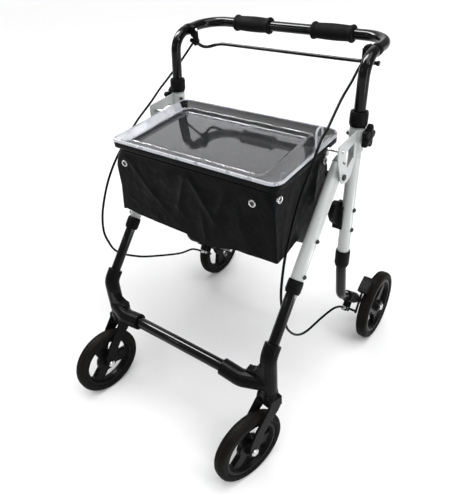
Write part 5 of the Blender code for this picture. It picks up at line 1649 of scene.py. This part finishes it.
class ROLLATOR_OT_cables(bpy.types.Operator):
    """Brake cables in their housings, the adjusters and the bare wires to the shoes"""

    bl_idname = "rollator.cables"
    bl_label = "Brake cables"
    bl_options = {"REGISTER", "UNDO"}

    WIRE_RADIUS = 0.0008
    WIRE_INSIDE = 0.003
    WIRE_STEPS = 12
    # Two heights for bending the cables with the handle's height; nothing here reads them, and the cables are
    # not bent
    BEND_FROM = 0.25
    BEND_TO = 0.74
    BARREL_RADIUS = 0.0046
    BARREL_RIBS = 4
    EAR_HALF = 0.0018
    NUT_RADIUS = 0.0055
    NUT_HEIGHT = 0.005
    HOLE_RADIUS = 0.0012
    HOLE_DEPTH = 0.004

    def execute(self, context):
        for side, sign in SIDES:
            self.cable(side, sign)
            self.adjuster(side, sign)
            self.wire(side, sign)
        return {"FINISHED"}

    def cable(self, side, sign):
        route = [at(sign * x, y, z) for x, y, z in (CABLE_START, *CABLE_ROUTES[side])]
        route.append(rear_run_at(sign, ADJUSTER_FRONT + 0.001, ADJUSTER_DROP, ADJUSTER_X))
        path, length = smooth_route(route, CABLE_RINGS)
        mesh = tube_mesh(side, path, CABLE_RADIUS, sides=14, lip=0.0003)
        made = piece(f"brake_cable_{side}_housing", mesh, "cable_skin", f"brake_cable_{side}", rides=False)
        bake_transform(made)

    def adjuster(self, side, sign):
        length = ADJUSTER_FRONT - ADJUSTER_BACK
        ferrule = ADJUSTER_FRONT - EAR_REACH - self.EAR_HALF
        nut = ADJUSTER_FRONT - EAR_REACH + self.EAR_HALF
        profile = [(0.0022, 0.0), (0.0040, 0.0)]
        for index in range(self.BARREL_RIBS):
            start = 0.0008 + index * ferrule / self.BARREL_RIBS
            profile += [(self.BARREL_RADIUS, start), (self.BARREL_RADIUS, start + 0.0018)]
            profile.append((0.0042, start + 0.0024))
        profile += [
            (self.BARREL_RADIUS, ferrule),
            (ADJUSTER_RADIUS, ferrule),
            (ADJUSTER_RADIUS, nut),
            (self.NUT_RADIUS, nut),
            (self.NUT_RADIUS, nut + self.NUT_HEIGHT),
            (ADJUSTER_RADIUS, nut + self.NUT_HEIGHT),
            (ADJUSTER_RADIUS, length),
            (self.HOLE_RADIUS, length),
            (self.HOLE_RADIUS, length - self.HOLE_DEPTH),
        ]
        front = rear_run_at(sign, ADJUSTER_FRONT, ADJUSTER_DROP, ADJUSTER_X)
        back = rear_run_at(sign, ADJUSTER_BACK, ADJUSTER_DROP, ADJUSTER_X)
        mesh = turned_mesh(side, profile, 0.0002, front, back - front, 30, steps=2)
        piece(f"cable_adjuster_{side}_barrel", mesh, "steel", f"cable_adjuster_{side}")

    def wire(self, side, sign):
        start = rear_run_at(sign, ADJUSTER_BACK + self.WIRE_INSIDE, ADJUSTER_DROP, ADJUSTER_X)
        end = rear_run_at(sign, ANCHOR_REACH, ADJUSTER_DROP, ADJUSTER_X)
        path = [start.lerp(end, index / self.WIRE_STEPS) for index in range(self.WIRE_STEPS + 1)]
        mesh = tube_mesh(side, path, self.WIRE_RADIUS, sides=12, lip=0.0001)
        made = piece(f"brake_wire_{side}", mesh, "steel", rides=False)
        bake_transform(made)


# The bag


class ROLLATOR_OT_bag(bpy.types.Operator):
    """The sewn bag: creased walls, a sagging bottom, a hem round the wire hoop and press studs"""

    bl_idname = "rollator.bag"
    bl_label = "Bag"
    bl_options = {"REGISTER", "UNDO"}

    CLOTH = 0.0012
    TOP_HALF = 0.1880
    WALL_TOP = HOOP_HEIGHT - 0.0010
    TOP_FRONT = -0.1240
    TOP_BACK = 0.0792
    # The left wall stands out by this much, over this share of its depth from the top
    LEFT_BULGE = 0.0080
    LEFT_BULGE_END = 0.6
    TOP_CORNER = 0.0220
    LOW_FRONT = -0.1268
    LOW_BACK = 0.0700
    LOW_CORNER = 0.0035
    ROWS = 60
    ROW_STEP = 0.0026
    COUNTS = (130, 70, 110, 70)
    CORNER_STEPS = 6
    FLOOR_RINGS = 14
    # How far the lower edge stands out from the top edge: at the wall's front, middle and back
    LEFT_FLARE = (0.0150, 0.0085, 0.0060)
    RIGHT_FLARE = (0.0052, 0.0045, 0.0030)
    # Heights of the lower edge, wall by wall: (share across, height)
    LOWER_EDGE = {
        "front": (
            (0.0, 0.4700),
            (0.10, 0.4658),
            (0.25, 0.4636),
            (0.43, 0.4620),
            (0.53, 0.4512),
            (0.61, 0.4545),
            (0.79, 0.4680),
            (1.0, 0.4715),
        ),
        "right": (
            (0.0, 0.4715),
            (0.17, 0.4719),
            (0.39, 0.4776),
            (0.51, 0.4560),
            (0.75, 0.4540),
            (1.0, 0.4640),
        ),
        "back": ((0.0, 0.4640), (0.5, 0.4560), (1.0, 0.4660)),
        "left": ((0.0, 0.4660), (0.5, 0.4580), (1.0, 0.4680)),
    }
    FLOOR_SAG = 0.4490
    # The bottom's middle line, as a share of its width, and how near its rings come to that line
    FLOOR_LINE = 0.45
    FLOOR_REACH = 0.97
    FLOOR_CRUMPLE = 0.8
    # Long folds, wall by wall: start (across, down), end (across, down), share of the depth, width
    FOLDS = {
        "front": (
            ((0.47, 0.12), (0.40, 0.62), 1.0, 0.030),
            ((0.50, 0.08), (0.64, 0.62), 0.9, 0.030),
            ((0.72, 0.22), (0.64, 0.62), 0.8, 0.028),
            ((0.22, 0.38), (0.42, 0.10), 0.7, 0.040),
            ((0.07, 0.10), (0.30, 0.75), 0.6, 0.035),
            ((0.72, 0.85), (0.86, 0.50), 0.6, 0.045),
            ((0.56, 0.55), (0.58, 0.95), 0.7, 0.030),
            ((0.30, 0.20), (0.26, 0.55), -0.6, 0.050),
            ((0.80, 0.20), (0.82, 0.45), -0.5, 0.050),
            ((0.46, 0.70), (0.36, 0.95), 0.5, 0.035),
        ),
        "right": (
            ((0.62, 0.05), (0.30, 0.80), 0.9, 0.040),
            ((0.78, 0.08), (0.66, 0.80), 0.9, 0.035),
            ((0.30, 0.15), (0.16, 0.70), 0.5, 0.050),
            ((0.48, 0.20), (0.46, 0.60), -0.6, 0.050),
        ),
        "back": (
            ((0.20, 0.15), (0.32, 0.80), 0.7, 0.035),
            ((0.55, 0.10), (0.48, 0.75), 0.8, 0.035),
            ((0.80, 0.15), (0.72, 0.70), 0.6, 0.035),
        ),
        "left": (
            ((0.25, 0.10), (0.40, 0.75), 0.8, 0.040),
            ((0.65, 0.15), (0.55, 0.80), 0.7, 0.040),
        ),
    }
    FOLD_TIGHT = 1.9
    FOLD_POWER = 1.25
    LONG_ASPECT = 2.4
    SHORT_ASPECT = 1.3
    # Creases of the cloth: (size, share of the depth)
    CREASES = ((0.060, 1.0), (0.024, 0.45), (0.011, 0.16))
    CREASE_SUM = 1.6
    CREASE_RIDGE = 2.2
    CREASE_STRETCH = 1.3
    # Shares of a wall over which its folds fade out: below the hoop, above the lower edge, beside a corner
    FADE_TOP = 0.12
    FADE_LOW = 0.10
    FADE_SIDE = 0.06
    LOW_FOLDS = 0.35
    WALL_BULGE = 0.0030
    SLEEVE_HALF = 0.179
    SLEEVE_STEPS = 120
    SLEEVE_Y = 0.0905
    SLEEVE_DEPTH = 0.0175
    SLEEVE_HEIGHT = 0.6225
    SLEEVE_RISE = 0.0095
    SLEEVE_SIDES = 28
    SLEEVE_END = 0.35
    # The stand-up edge outside the hoop, from its inner foot up and back: (inset from the tray, height)
    EDGE_PROFILE = (
        (0.0100, 0.6202),
        (0.0022, 0.6202),
        (0.0009, 0.6215),
        (0.0007, 0.6328),
        (0.0010, 0.6335),
        (0.0019, 0.6335),
        (0.0021, 0.6326),
        (0.0021, 0.6226),
        (0.0030, 0.6215),
        (0.0100, 0.6215),
    )
    EDGE_CORNER_STEPS = 10
    EDGE_STEP = 0.006
    # How many points of the corner at the back left the stand-up edge takes in
    EDGE_PAST_CORNER = 3
    OUTWARD = {"right": X_AXIS, "back": Y_AXIS, "left": -X_AXIS, "front": -Y_AXIS}
    STUDS = (
        ("front", -0.1720, 0.5870),
        ("front", 0.1430, 0.5868),
        ("right", -0.1085, 0.6000),
        ("right", 0.0600, 0.5950),
    )

    def execute(self, context):
        self.hoop()
        self.cloth()
        self.hem()
        self.back_sleeve()
        self.stand_up_edge()
        self.studs()
        return {"FINISHED"}

    def hoop_path(self, steps=10):
        low, high = (-HOOP_HALF, HOOP_FRONT), (HOOP_HALF, HOOP_BACK)
        outline = rounded_rectangle(low, high, HOOP_CORNER, steps)
        return [at(x, y, HOOP_HEIGHT) for x, y in outline]

    def hoop(self):
        mesh = level_loop("bag_frame", self.hoop_path(), HOOP_RADIUS)
        piece("bag_frame_wire", mesh, "dark_steel", "bag_frame")

    def edge_height(self, wall, across):
        """Height of the bag's lower edge, with across measured the way the wall runs in the photo."""
        table = self.LOWER_EDGE[wall]
        for (before, low), (after, high) in zip(table, table[1:]):
            if across <= after:
                return low + (high - low) * eased((across - before) / (after - before))
        return table[-1][1]

    def corner_radius(self, down):
        return self.TOP_CORNER + (self.LOW_CORNER - self.TOP_CORNER) * eased(min(1.0, down / 0.30))

    def flare(self, table, across):
        front, middle, back = table
        if across < 0.5:
            return front + (middle - front) * across * 2
        return middle + (back - middle) * (across - 0.5) * 2

    def outline(self, down):
        """The bag's outline at a share of its depth: (x, y, wall, across) points, anticlockwise."""
        radius = self.corner_radius(down)
        front = self.TOP_FRONT + (self.LOW_FRONT - self.TOP_FRONT) * down
        back = self.TOP_BACK + (self.LOW_BACK - self.TOP_BACK) * down
        depth = back - front
        points = []

        def width(sign, y):
            table = self.RIGHT_FLARE if sign > 0 else self.LEFT_FLARE
            half = self.TOP_HALF + self.flare(table, (y - front) / depth) * down
            if sign < 0 and down < self.LEFT_BULGE_END:
                half += self.LEFT_BULGE * math.sin(math.pi * math.sqrt(down / self.LEFT_BULGE_END))
            return half

        def corner(x_sign, y_corner, turn, wall_before, wall_after):
            y_sign = 1 if y_corner == back else -1
            centre_y = y_corner - y_sign * radius
            centre_x = x_sign * (width(x_sign, y_corner) - radius)
            for step in range(self.CORNER_STEPS + 1):
                angle = math.radians(turn + 90 * step / self.CORNER_STEPS)
                wall = wall_before if step * 2 < self.CORNER_STEPS else wall_after
                x = centre_x + radius * math.cos(angle)
                y = centre_y + radius * math.sin(angle)
                points.append((x, y, wall, self.across(wall, x, y, front, back)))

        def run(wall, count, place):
            for index in range(1, count):
                x, y = place(index / count)
                points.append((x, y, wall, self.across(wall, x, y, front, back)))

        def side_run(sign, low, high):
            return lambda share: (sign * width(sign, low + (high - low) * share), low + (high - low) * share)

        def end_run(y, low, high):
            return lambda share: (low + (high - low) * share, y)

        right, left = width(1, back) - radius, width(-1, back) - radius
        right_low, left_low = width(1, front) - radius, width(-1, front) - radius
        run("right", self.COUNTS[1], side_run(1, front + radius, back - radius))
        corner(1, back, 0, "right", "back")
        run("back", self.COUNTS[2], end_run(back, right, -left))
        corner(-1, back, 90, "back", "left")
        run("left", self.COUNTS[3], side_run(-1, back - radius, front + radius))
        corner(-1, front, 180, "left", "front")
        run("front", self.COUNTS[0], end_run(front, -left_low, right_low))
        corner(1, front, 270, "front", "right")
        return points

    def across(self, wall, x, y, front, back):
        """Share across a wall: from left to right at the front and back, from front to back at the sides."""
        if wall in ("front", "back"):
            share = (x + self.TOP_HALF) / (2 * self.TOP_HALF)
        else:
            share = (y - front) / (back - front)
        return max(0.0, min(1.0, share))

    def fold_depth(self, wall, across, down):
        """How far the long folds push a point out."""
        total = 0.0
        aspect = self.LONG_ASPECT if wall in ("front", "back") else self.SHORT_ASPECT
        for start, end, depth, width in self.FOLDS[wall]:
            first = Vector((start[0] * aspect, start[1]))
            last = Vector((end[0] * aspect, end[1]))
            spot = Vector((across * aspect, down))
            run = last - first
            share = max(0.0, min(1.0, (spot - first).dot(run) / run.length_squared))
            gap = (spot - first - run * share).length
            taper = math.sin(math.pi * (0.15 + 0.7 * share)) ** 0.7
            total += depth * taper * math.exp(-((gap / (width * self.FOLD_TIGHT)) ** self.FOLD_POWER))
        return total

    def crumple(self, point):
        """Small creases: sharp ridges at three sizes."""
        value = 0.0
        for size, weight in self.CREASES:
            spot = Vector((point.x, point.y * self.CREASE_STRETCH, point.z)) / size
            value += weight * (1.0 - self.CREASE_RIDGE * abs(noise.noise(spot)))
        return value / self.CREASE_SUM - 0.5

    def walls(self):
        """Rings from the hoop down to the lower edge."""
        rings = []
        for row in range(self.ROWS + 1):
            down = row / self.ROWS
            low_fade = self.LOW_FOLDS + (1 - self.LOW_FOLDS) * min(1.0, (1.0 - down) / self.FADE_LOW)
            fade = min(1.0, down / self.FADE_TOP) * low_fade
            ring = []
            for x, y, wall, across in self.outline(down):
                low = self.edge_height(wall, across)
                point = at(x, y, self.WALL_TOP + (low - self.WALL_TOP) * down)
                edge = min(1.0, min(across, 1.0 - across) / self.FADE_SIDE)
                push = sizes().fold_depth * self.fold_depth(wall, across, down)
                push += sizes().crumple_depth * self.crumple(point)
                bulge = self.WALL_BULGE * math.sin(math.pi * down) * math.sin(math.pi * across)
                ring.append(point + self.OUTWARD[wall] * (push * fade * edge - bulge * edge))
            rings.append(ring)
        return rings

    def floor_rings(self, edge):
        """The bag's bottom, from its lower edge inwards."""
        centre_y = SHIFT_Y + (self.LOW_FRONT + self.LOW_BACK) / 2
        rings = []
        for step in range(1, self.FLOOR_RINGS + 1):
            inward = self.FLOOR_REACH * step / self.FLOOR_RINGS
            ring = []
            for point in edge:
                middle = Vector((point.x * self.FLOOR_LINE, centre_y, self.FLOOR_SAG))
                spot = point.lerp(middle, inward)
                ease = math.sin(inward * math.pi / 2)
                spot.z = point.z + (self.FLOOR_SAG - point.z) * ease
                depth = sizes().crumple_depth * self.FLOOR_CRUMPLE
                spot.z += depth * self.crumple(spot) * min(1.0, 4 * inward)
                ring.append(spot)
            rings.append(ring)
        return rings

    def cloth(self):
        rings = self.walls()
        rings += self.floor_rings(rings[-1])
        sheet = skin("bag", rings, open_start=True)
        self.weave_map(sheet, rings)
        piece("bag_cloth", thickened(sheet, self.CLOTH, 1.0), "bag_fabric", "bag", sharp=75.0)

    def weave_map(self, mesh, rings):
        """UVs in metres: round the bag and down it, so that the weave keeps its scale."""
        count = len(rings[0])
        travelled = [0.0]
        for before, after in zip(rings[0], rings[0][1:]):
            travelled.append(travelled[-1] + (after - before).length)
        whole = travelled[-1] + (rings[0][0] - rings[0][-1]).length
        layer = mesh.uv_layers.new(name="weave")
        for polygon in mesh.polygons:
            columns = [mesh.loops[loop].vertex_index % count for loop in polygon.loop_indices]
            wraps = max(columns) - min(columns) > count / 2
            for loop in polygon.loop_indices:
                vertex = mesh.loops[loop].vertex_index
                row, column = divmod(vertex, count)
                across = travelled[column]
                if wraps and column < count / 2:
                    across += whole
                layer.data[loop].uv = (across, -row * self.ROW_STEP)

    def hem(self):
        mesh = level_loop("hem", self.hem_path(), sizes().hem_radius, 18)
        piece("bag_hem", mesh, "bag_fabric", body="bag", sharp=180.0)

    def hem_path(self):
        path = []
        for point in self.hoop_path(14):
            ripple = 0.00025 * noise.noise(point * 90)
            path.append(point + Vector((0, 0, ripple - 0.0003)))
        return path

    def back_sleeve(self):
        """The bag's wide rear hem, a flat sleeve that shows through the tray's rear band."""
        rings = []
        for step in range(self.SLEEVE_STEPS + 1):
            share = step / self.SLEEVE_STEPS
            x = self.SLEEVE_HALF * (2 * share - 1)
            round_end = min(1.0, min(share, 1 - share) / 0.02)
            rounded = math.sqrt(max(0.0, 1 - (1 - round_end) ** 2))
            size = self.SLEEVE_END + (1 - self.SLEEVE_END) * rounded
            ring = []
            for angle in turns(self.SLEEVE_SIDES):
                y = self.SLEEVE_Y + self.SLEEVE_DEPTH * math.cos(angle) * size
                z = self.SLEEVE_HEIGHT + self.SLEEVE_RISE * math.sin(angle) * size
                spot = at(x, y, z)
                spot.z += 0.0009 * noise.noise(Vector((x * 22, y * 40, 0.3)))
                ring.append(spot)
            rings.append(ring)
        piece("bag_back_sleeve", skin("sleeve", rings), "bag_fabric", body="bag", sharp=180.0)

    def edge_outline(self, inset):
        """The open line that the stand-up edge follows: front left corner, front, right side and back."""
        low, high = (-TRAY_HALF + inset, TRAY_FRONT + inset), (TRAY_HALF - inset, TRAY_BACK - inset)
        steps = self.EDGE_CORNER_STEPS
        outline = rounded_rectangle(low, high, TRAY_CORNER - inset, steps, TRAY_TIGHT)
        corner = steps + 1
        return outline[2 * corner:] + outline[:corner + self.EDGE_PAST_CORNER]

    def stand_up_edge(self):
        """A stiff cloth edge that stands round the tray's rim, open along the left side."""
        lines = [self.edge_outline(inset) for inset, _ in self.EDGE_PROFILE]
        heights = [height for _, height in self.EDGE_PROFILE]
        rings = []
        for index in range(len(lines[0]) - 1):
            here = [Vector(line[index]) for line in lines]
            after = [Vector(line[index + 1]) for line in lines]
            count = max(1, math.ceil((after[3] - here[3]).length / self.EDGE_STEP))
            for step in range(count):
                share = step / count
                ring = []
                for start, end, height in zip(here, after, heights):
                    spot = start.lerp(end, share)
                    wave = 0.0003 * noise.noise(Vector((spot.x * 60, spot.y * 60, 0.7)))
                    ring.append(at(spot.x, spot.y, height + wave - 0.0002))
                rings.append(ring)
        rings.append([at(*line[-1], height) for line, height in zip(lines, heights)])
        piece("bag_stand_up_edge", skin("edge", rings), "bag_fabric", body="bag", sharp=60.0)

    def studs(self):
        radius = sizes().stud_radius
        for index, (wall, along, height) in enumerate(self.STUDS):
            way = self.OUTWARD[wall]
            if wall == "front":
                start = at(along, self.TOP_FRONT - 0.0010, height)
            else:
                start = at(self.TOP_HALF + 0.0018, along, height)
            profile = [
                (0.0, -0.003),
                (radius, -0.003),
                (radius, 0.0008),
                (radius - 0.0012, 0.0020),
                (radius - 0.0026, 0.0016),
                (radius - 0.0030, 0.0004),
                (0.0, 0.0004),
            ]
            mesh = turned_mesh("stud", profile, 0.0004, start, way, 40)
            piece(f"press_stud_{index}", mesh, "steel", body="bag")
            core = [(0.0, 0.0), (radius - 0.0032, 0.0), (radius - 0.0034, 0.0009), (0.0, 0.0009)]
            mesh = turned_mesh("core", core, 0.0003, start + way * 0.0004, way, 32)
            piece(f"stud_core_{index}", mesh, "dark_steel", body="bag")


# The tray


class ROLLATOR_OT_tray(bpy.types.Operator):
    """The clear tray: a thin shell with rounded lips, a sunken panel, a skirt, feet and a clip loop"""

    bl_idname = "rollator.tray"
    bl_label = "Tray"
    bl_options = {"REGISTER", "UNDO"}

    THICKNESS = 0.0024
    # Skirt and lip, from the lower edge: (inset, height)
    SKIRT = (
        (0.0000, 0.6338),
        (0.0000, 0.6372),
        (0.0002, 0.6384),
        (0.0008, 0.6394),
        (0.0018, 0.6400),
        (0.0030, 0.6400),
        (0.0040, 0.6396),
        (0.0052, 0.6394),
    )
    # Band and slope: (share of the band's width, extra inset, height)
    BAND = (
        (0.90, -0.0010, 0.6394),
        (1.00, -0.0026, 0.6397),
        (1.00, -0.0012, 0.6400),
        (1.00, 0.0002, 0.6398),
        (1.00, 0.0014, 0.6386),
        (1.00, 0.0040, 0.6334),
        (1.00, 0.0052, 0.6320),
        (1.00, 0.0068, 0.6315),
        (1.00, 0.0120, 0.6315),
    )
    # Strips of faces, counted from the skirt's edge: frosted, then the outer edge, then the band's flat top
    FROSTED_STRIPS = 4
    EDGE_STRIPS = 6
    TOP_STRIPS = 11
    CORNER_STEPS = 12
    FOOT_TOP = 0.6378
    FOOT_BOTTOM = 0.62145
    FOOT_EDGE = 0.0008
    FOOT_CORNER = 0.002
    BAND_CORNER = 0.008
    LEAST_CORNER = 0.006
    LOOP_HALF = 0.0120
    LOOP_ROUND = 0.8
    LOOP_RADIUS = 0.0019
    LOOP_BOTTOM = 0.6392
    LOOP_TOP = 0.6790
    LOOP_Y = 0.0270
    LOOP_X = 0.1925

    def execute(self, context):
        sheet = skin("tray", self.rings(), open_start=True)
        self.paint(sheet)
        clear = thickened(sheet, self.THICKNESS, -1.0, even=True)
        piece("tray_clear", clear, "clear_acrylic", "tray", sharp=50.0)
        self.feet()
        self.loop()
        return {"FINISHED"}

    def ring(self, side, front, back, corner, height):
        low, high = (-TRAY_HALF + side, TRAY_FRONT + front), (TRAY_HALF - side, TRAY_BACK - back)
        outline = rounded_rectangle(low, high, corner, self.CORNER_STEPS, TRAY_TIGHT)
        return [at(x, y, height) for x, y in outline]

    def rings(self):
        """From the skirt's lower edge over the lip and the band to the sunken panel."""
        rings = [self.ring(inset, inset, inset, TRAY_CORNER - inset, height) for inset, height in self.SKIRT]
        for share, extra, height in self.BAND:
            insets = [band * share + extra for band in TRAY_BANDS]
            corner = TRAY_PANEL_CORNER if share == 1.0 else TRAY_CORNER - self.BAND_CORNER
            rings.append(self.ring(*insets, max(self.LEAST_CORNER, corner - max(0.0, extra)), height))
        return rings

    def paint(self, mesh):
        """Frosted edge, a left band whose grey haze paints the reflection on it, dark back band and clear
        plastic elsewhere.
        """
        for slot in ("frosted_edge", "clear_acrylic", "band_with_painted_reflection", "dark_band"):
            mesh.materials.append(finish(slot))
        frosted, clear, painted_reflection_slot, dark = range(4)
        strip_faces = 4 * (self.CORNER_STEPS + 1)
        left, back = TRAY_BANDS[0] - TRAY_HALF, TRAY_BACK - TRAY_BANDS[2]
        for polygon in mesh.polygons:
            strip = polygon.index // strip_faces
            if strip < self.FROSTED_STRIPS:
                polygon.material_index = frosted
            elif strip >= self.TOP_STRIPS:
                polygon.material_index = clear
            elif polygon.center.y > back and strip > self.EDGE_STRIPS:
                polygon.material_index = dark
            else:
                # Only the left band gets the grey haze of painted reflection.
                polygon.material_index = painted_reflection_slot if polygon.center.x < left else clear

    def feet(self):
        meshes = []
        for _, sign in SIDES:
            for y in TRAY_FEET_Y:
                low = (sign * HOOP_HALF - TRAY_FOOT / 2, y)
                high = (sign * HOOP_HALF + TRAY_FOOT / 2, y + TRAY_FOOT)
                rings = []
                for inset, height in (
                    (self.FOOT_EDGE, self.FOOT_BOTTOM),
                    (0.0, self.FOOT_BOTTOM + self.FOOT_EDGE),
                    (0.0, self.FOOT_TOP),
                ):
                    corners = (low[0] + inset, low[1] + inset), (high[0] - inset, high[1] - inset)
                    outline = rounded_rectangle(*corners, self.FOOT_CORNER, 4)
                    rings.append([at(x, y_at, height) for x, y_at in outline])
                meshes.append(skin("foot", rings))
        piece("tray_feet", joined_mesh("tray_feet", meshes), "clear_acrylic", body="tray")

    def loop(self):
        """A clear clip loop that stands on the tray's right band."""
        low = (self.LOOP_Y - self.LOOP_HALF, self.LOOP_BOTTOM)
        high = (self.LOOP_Y + self.LOOP_HALF, self.LOOP_TOP)
        outline = rounded_rectangle(low, high, self.LOOP_HALF * self.LOOP_ROUND, 8)
        path = [at(self.LOOP_X, y, z) for y, z in outline]
        mesh = upright_loop("tray_loop", path, self.LOOP_RADIUS, 14)
        mesh.materials.append(finish("frosted_edge"))
        piece("tray_clip_loop", mesh, "clear_acrylic", body="tray")


# The stage


class ROLLATOR_OT_stage(bpy.types.Operator):
    """A pale floor, soft studio lights and the camera"""

    bl_idname = "rollator.stage"
    bl_label = "Stage"
    bl_options = {"REGISTER", "UNDO"}

    FLOOR_HALF = 14.0
    FLOOR_DROP = 0.0002
    WORLD_GREY = 0.30
    WORLD_BLUE = 1.03
    SUN_WAY = (0.30, -0.12, 1.0)
    SUN_STRENGTH = 2.6
    SUN_ANGLE = math.radians(50)
    CAMERA_PLACE = (0.5852, -0.7721, 1.0883)
    CAMERA_YAW = math.radians(-40.658)
    CAMERA_PITCH = math.radians(33.666)
    CAMERA_ROLL = math.radians(6.141)
    CAMERA_LENS = 37.894
    CAMERA_SENSOR = 36.0
    CAMERA_SHIFT = (0.0585, -0.0677)
    MIDDLE = Vector((0, 0, 0.40))
    # Lights: name, direction from the middle, distance, width, height, power, whether it lights matt surfaces
    LIGHTS = (
        ("key", (0.95, -0.10, 0.75), 2.8, 0.20, 0.20, 7.0, True),
        ("fill", (-0.75, -1.00, 0.75), 3.0, 0.16, 0.16, 4.0, True),
        ("top strip", (-0.49, 0.0, 0.87), 3.0, 0.8, 2.4, 260.0, False),
        ("side strip", (0.973, -0.169, 0.156), 2.4, 0.30, 1.4, 13.0, False),
        ("back", (-0.542, 0.631, 0.554), 3.0, 3.0, 3.0, 24.0, True),
    )
    LOW_STRIP_PLACE = (1.25, 0.25, 0.04)
    LOW_STRIP_SIZE = (1.1, 0.04)
    LOW_STRIP_POWER = 6.0

    def execute(self, context):
        self.floor()
        self.world()
        for light in self.LIGHTS:
            self.light(*light)
        self.low_strip()
        self.sun()
        self.camera()
        bpy.context.scene.view_settings.view_transform = "Standard"
        bpy.context.scene.view_settings.look = "None"
        return {"FINISHED"}

    def floor(self):
        half = self.FLOOR_HALF
        corners = [(x * half, y * half, -self.FLOOR_DROP) for x, y in ((-1, -1), (1, -1), (1, 1), (-1, 1))]
        mesh = mesh_of("floor", corners, [(0, 1, 2, 3)])
        mesh.materials.append(pale_floor())
        linked("floor", mesh)

    def world(self):
        world = bpy.data.worlds.new("Studio")
        world.use_nodes = True
        grey = self.WORLD_GREY
        background = world.node_tree.nodes["Background"]
        background.inputs["Color"].default_value = (grey, grey, grey * self.WORLD_BLUE, 1.0)
        bpy.context.scene.world = world

    def light(self, name, way, distance, width, height, power, matt):
        direction = Vector(way).normalized()
        holder = self.panel(name, self.MIDDLE + direction * distance, width, height, power)
        holder.rotation_euler = direction.to_track_quat("Z", "Y").to_euler()
        holder.visible_diffuse = matt

    def panel(self, name, place, width, height, power):
        """A flat light that faces down its own -Z."""
        lamp = bpy.data.lights.new(name, "AREA")
        lamp.shape = "RECTANGLE"
        lamp.size = width
        lamp.size_y = height
        lamp.energy = power
        holder = linked(name, lamp)
        holder.location = place
        holder.visible_camera = False
        return holder

    def low_strip(self):
        """A strip beside the rollator that faces up, for the highlight along upright tubes."""
        holder = self.panel("low strip", self.LOW_STRIP_PLACE, *self.LOW_STRIP_SIZE, self.LOW_STRIP_POWER)
        holder.rotation_euler = (math.pi, 0.0, 0.0)

    def sun(self):
        lamp = bpy.data.lights.new("sky", "SUN")
        lamp.energy = self.SUN_STRENGTH
        lamp.angle = self.SUN_ANGLE
        holder = linked("sky", lamp)
        holder.rotation_euler = Vector(self.SUN_WAY).to_track_quat("Z", "Y").to_euler()

    def camera(self):
        yaw, pitch, roll = self.CAMERA_YAW, self.CAMERA_PITCH, self.CAMERA_ROLL
        forward = Vector((math.cos(pitch) * math.sin(yaw), math.cos(pitch) * math.cos(yaw), -math.sin(pitch)))
        right = Vector((math.cos(yaw), -math.sin(yaw), 0.0))
        down = forward.cross(right)
        turned_right = right * math.cos(roll) + down * math.sin(roll)
        turned_down = down * math.cos(roll) - right * math.sin(roll)
        lens = bpy.data.cameras.new("camera")
        lens.lens = self.CAMERA_LENS
        lens.sensor_width = self.CAMERA_SENSOR
        lens.shift_x, lens.shift_y = self.CAMERA_SHIFT
        lens.clip_start = 0.01
        camera = linked("camera", lens)
        turned = Matrix((turned_right, -turned_down, -forward)).transposed().to_4x4()
        camera.matrix_world = Matrix.Translation(self.CAMERA_PLACE) @ turned
        bpy.context.scene.camera = camera


OPERATORS = (
    ROLLATOR_OT_stage,
    ROLLATOR_OT_cables,
    ROLLATOR_OT_tubes,
    ROLLATOR_OT_collars,
    ROLLATOR_OT_castings,
    ROLLATOR_OT_brackets,
    ROLLATOR_OT_wheels,
    ROLLATOR_OT_bolts,
    ROLLATOR_OT_grips,
    ROLLATOR_OT_knobs,
    ROLLATOR_OT_brake_bar,
    ROLLATOR_OT_bag,
    ROLLATOR_OT_tray,
)


class ROLLATOR_PT_pieces(bpy.types.Panel):
    """Lists the rollator's pieces, sizes and colours"""

    bl_idname = "ROLLATOR_PT_pieces"
    bl_label = "Folding rollator"
    bl_space_type = "VIEW_3D"
    bl_region_type = "UI"
    bl_category = "Rollator"

    def draw(self, context):
        layout = self.layout
        for group in (context.scene.rollator_sizes, context.scene.rollator_colours):
            for name in group.__annotations__:
                layout.prop(group, name)
        for operator in OPERATORS:
            layout.operator(operator.bl_idname)


CLASSES = (RollatorSizes, RollatorColours, *OPERATORS, ROLLATOR_PT_pieces)


def register():
    for made in CLASSES:
        bpy.utils.register_class(made)
    bpy.types.Scene.rollator_sizes = bpy.props.PointerProperty(type=RollatorSizes)
    bpy.types.Scene.rollator_colours = bpy.props.PointerProperty(type=RollatorColours)


def unregister():
    del bpy.types.Scene.rollator_colours
    del bpy.types.Scene.rollator_sizes
    for made in reversed(CLASSES):
        bpy.utils.unregister_class(made)


def main():
    """Builds every piece in order."""
    register()
    bpy.ops.rollator.stage()
    bpy.ops.rollator.cables()
    bpy.ops.rollator.tubes()
    bpy.ops.rollator.collars()
    bpy.ops.rollator.castings()
    bpy.ops.rollator.brackets()
    bpy.ops.rollator.wheels()
    bpy.ops.rollator.bolts()
    bpy.ops.rollator.grips()
    bpy.ops.rollator.knobs()
    bpy.ops.rollator.brake_bar()
    bpy.ops.rollator.bag()
    bpy.ops.rollator.tray()


if __name__ == "__main__":
    main()
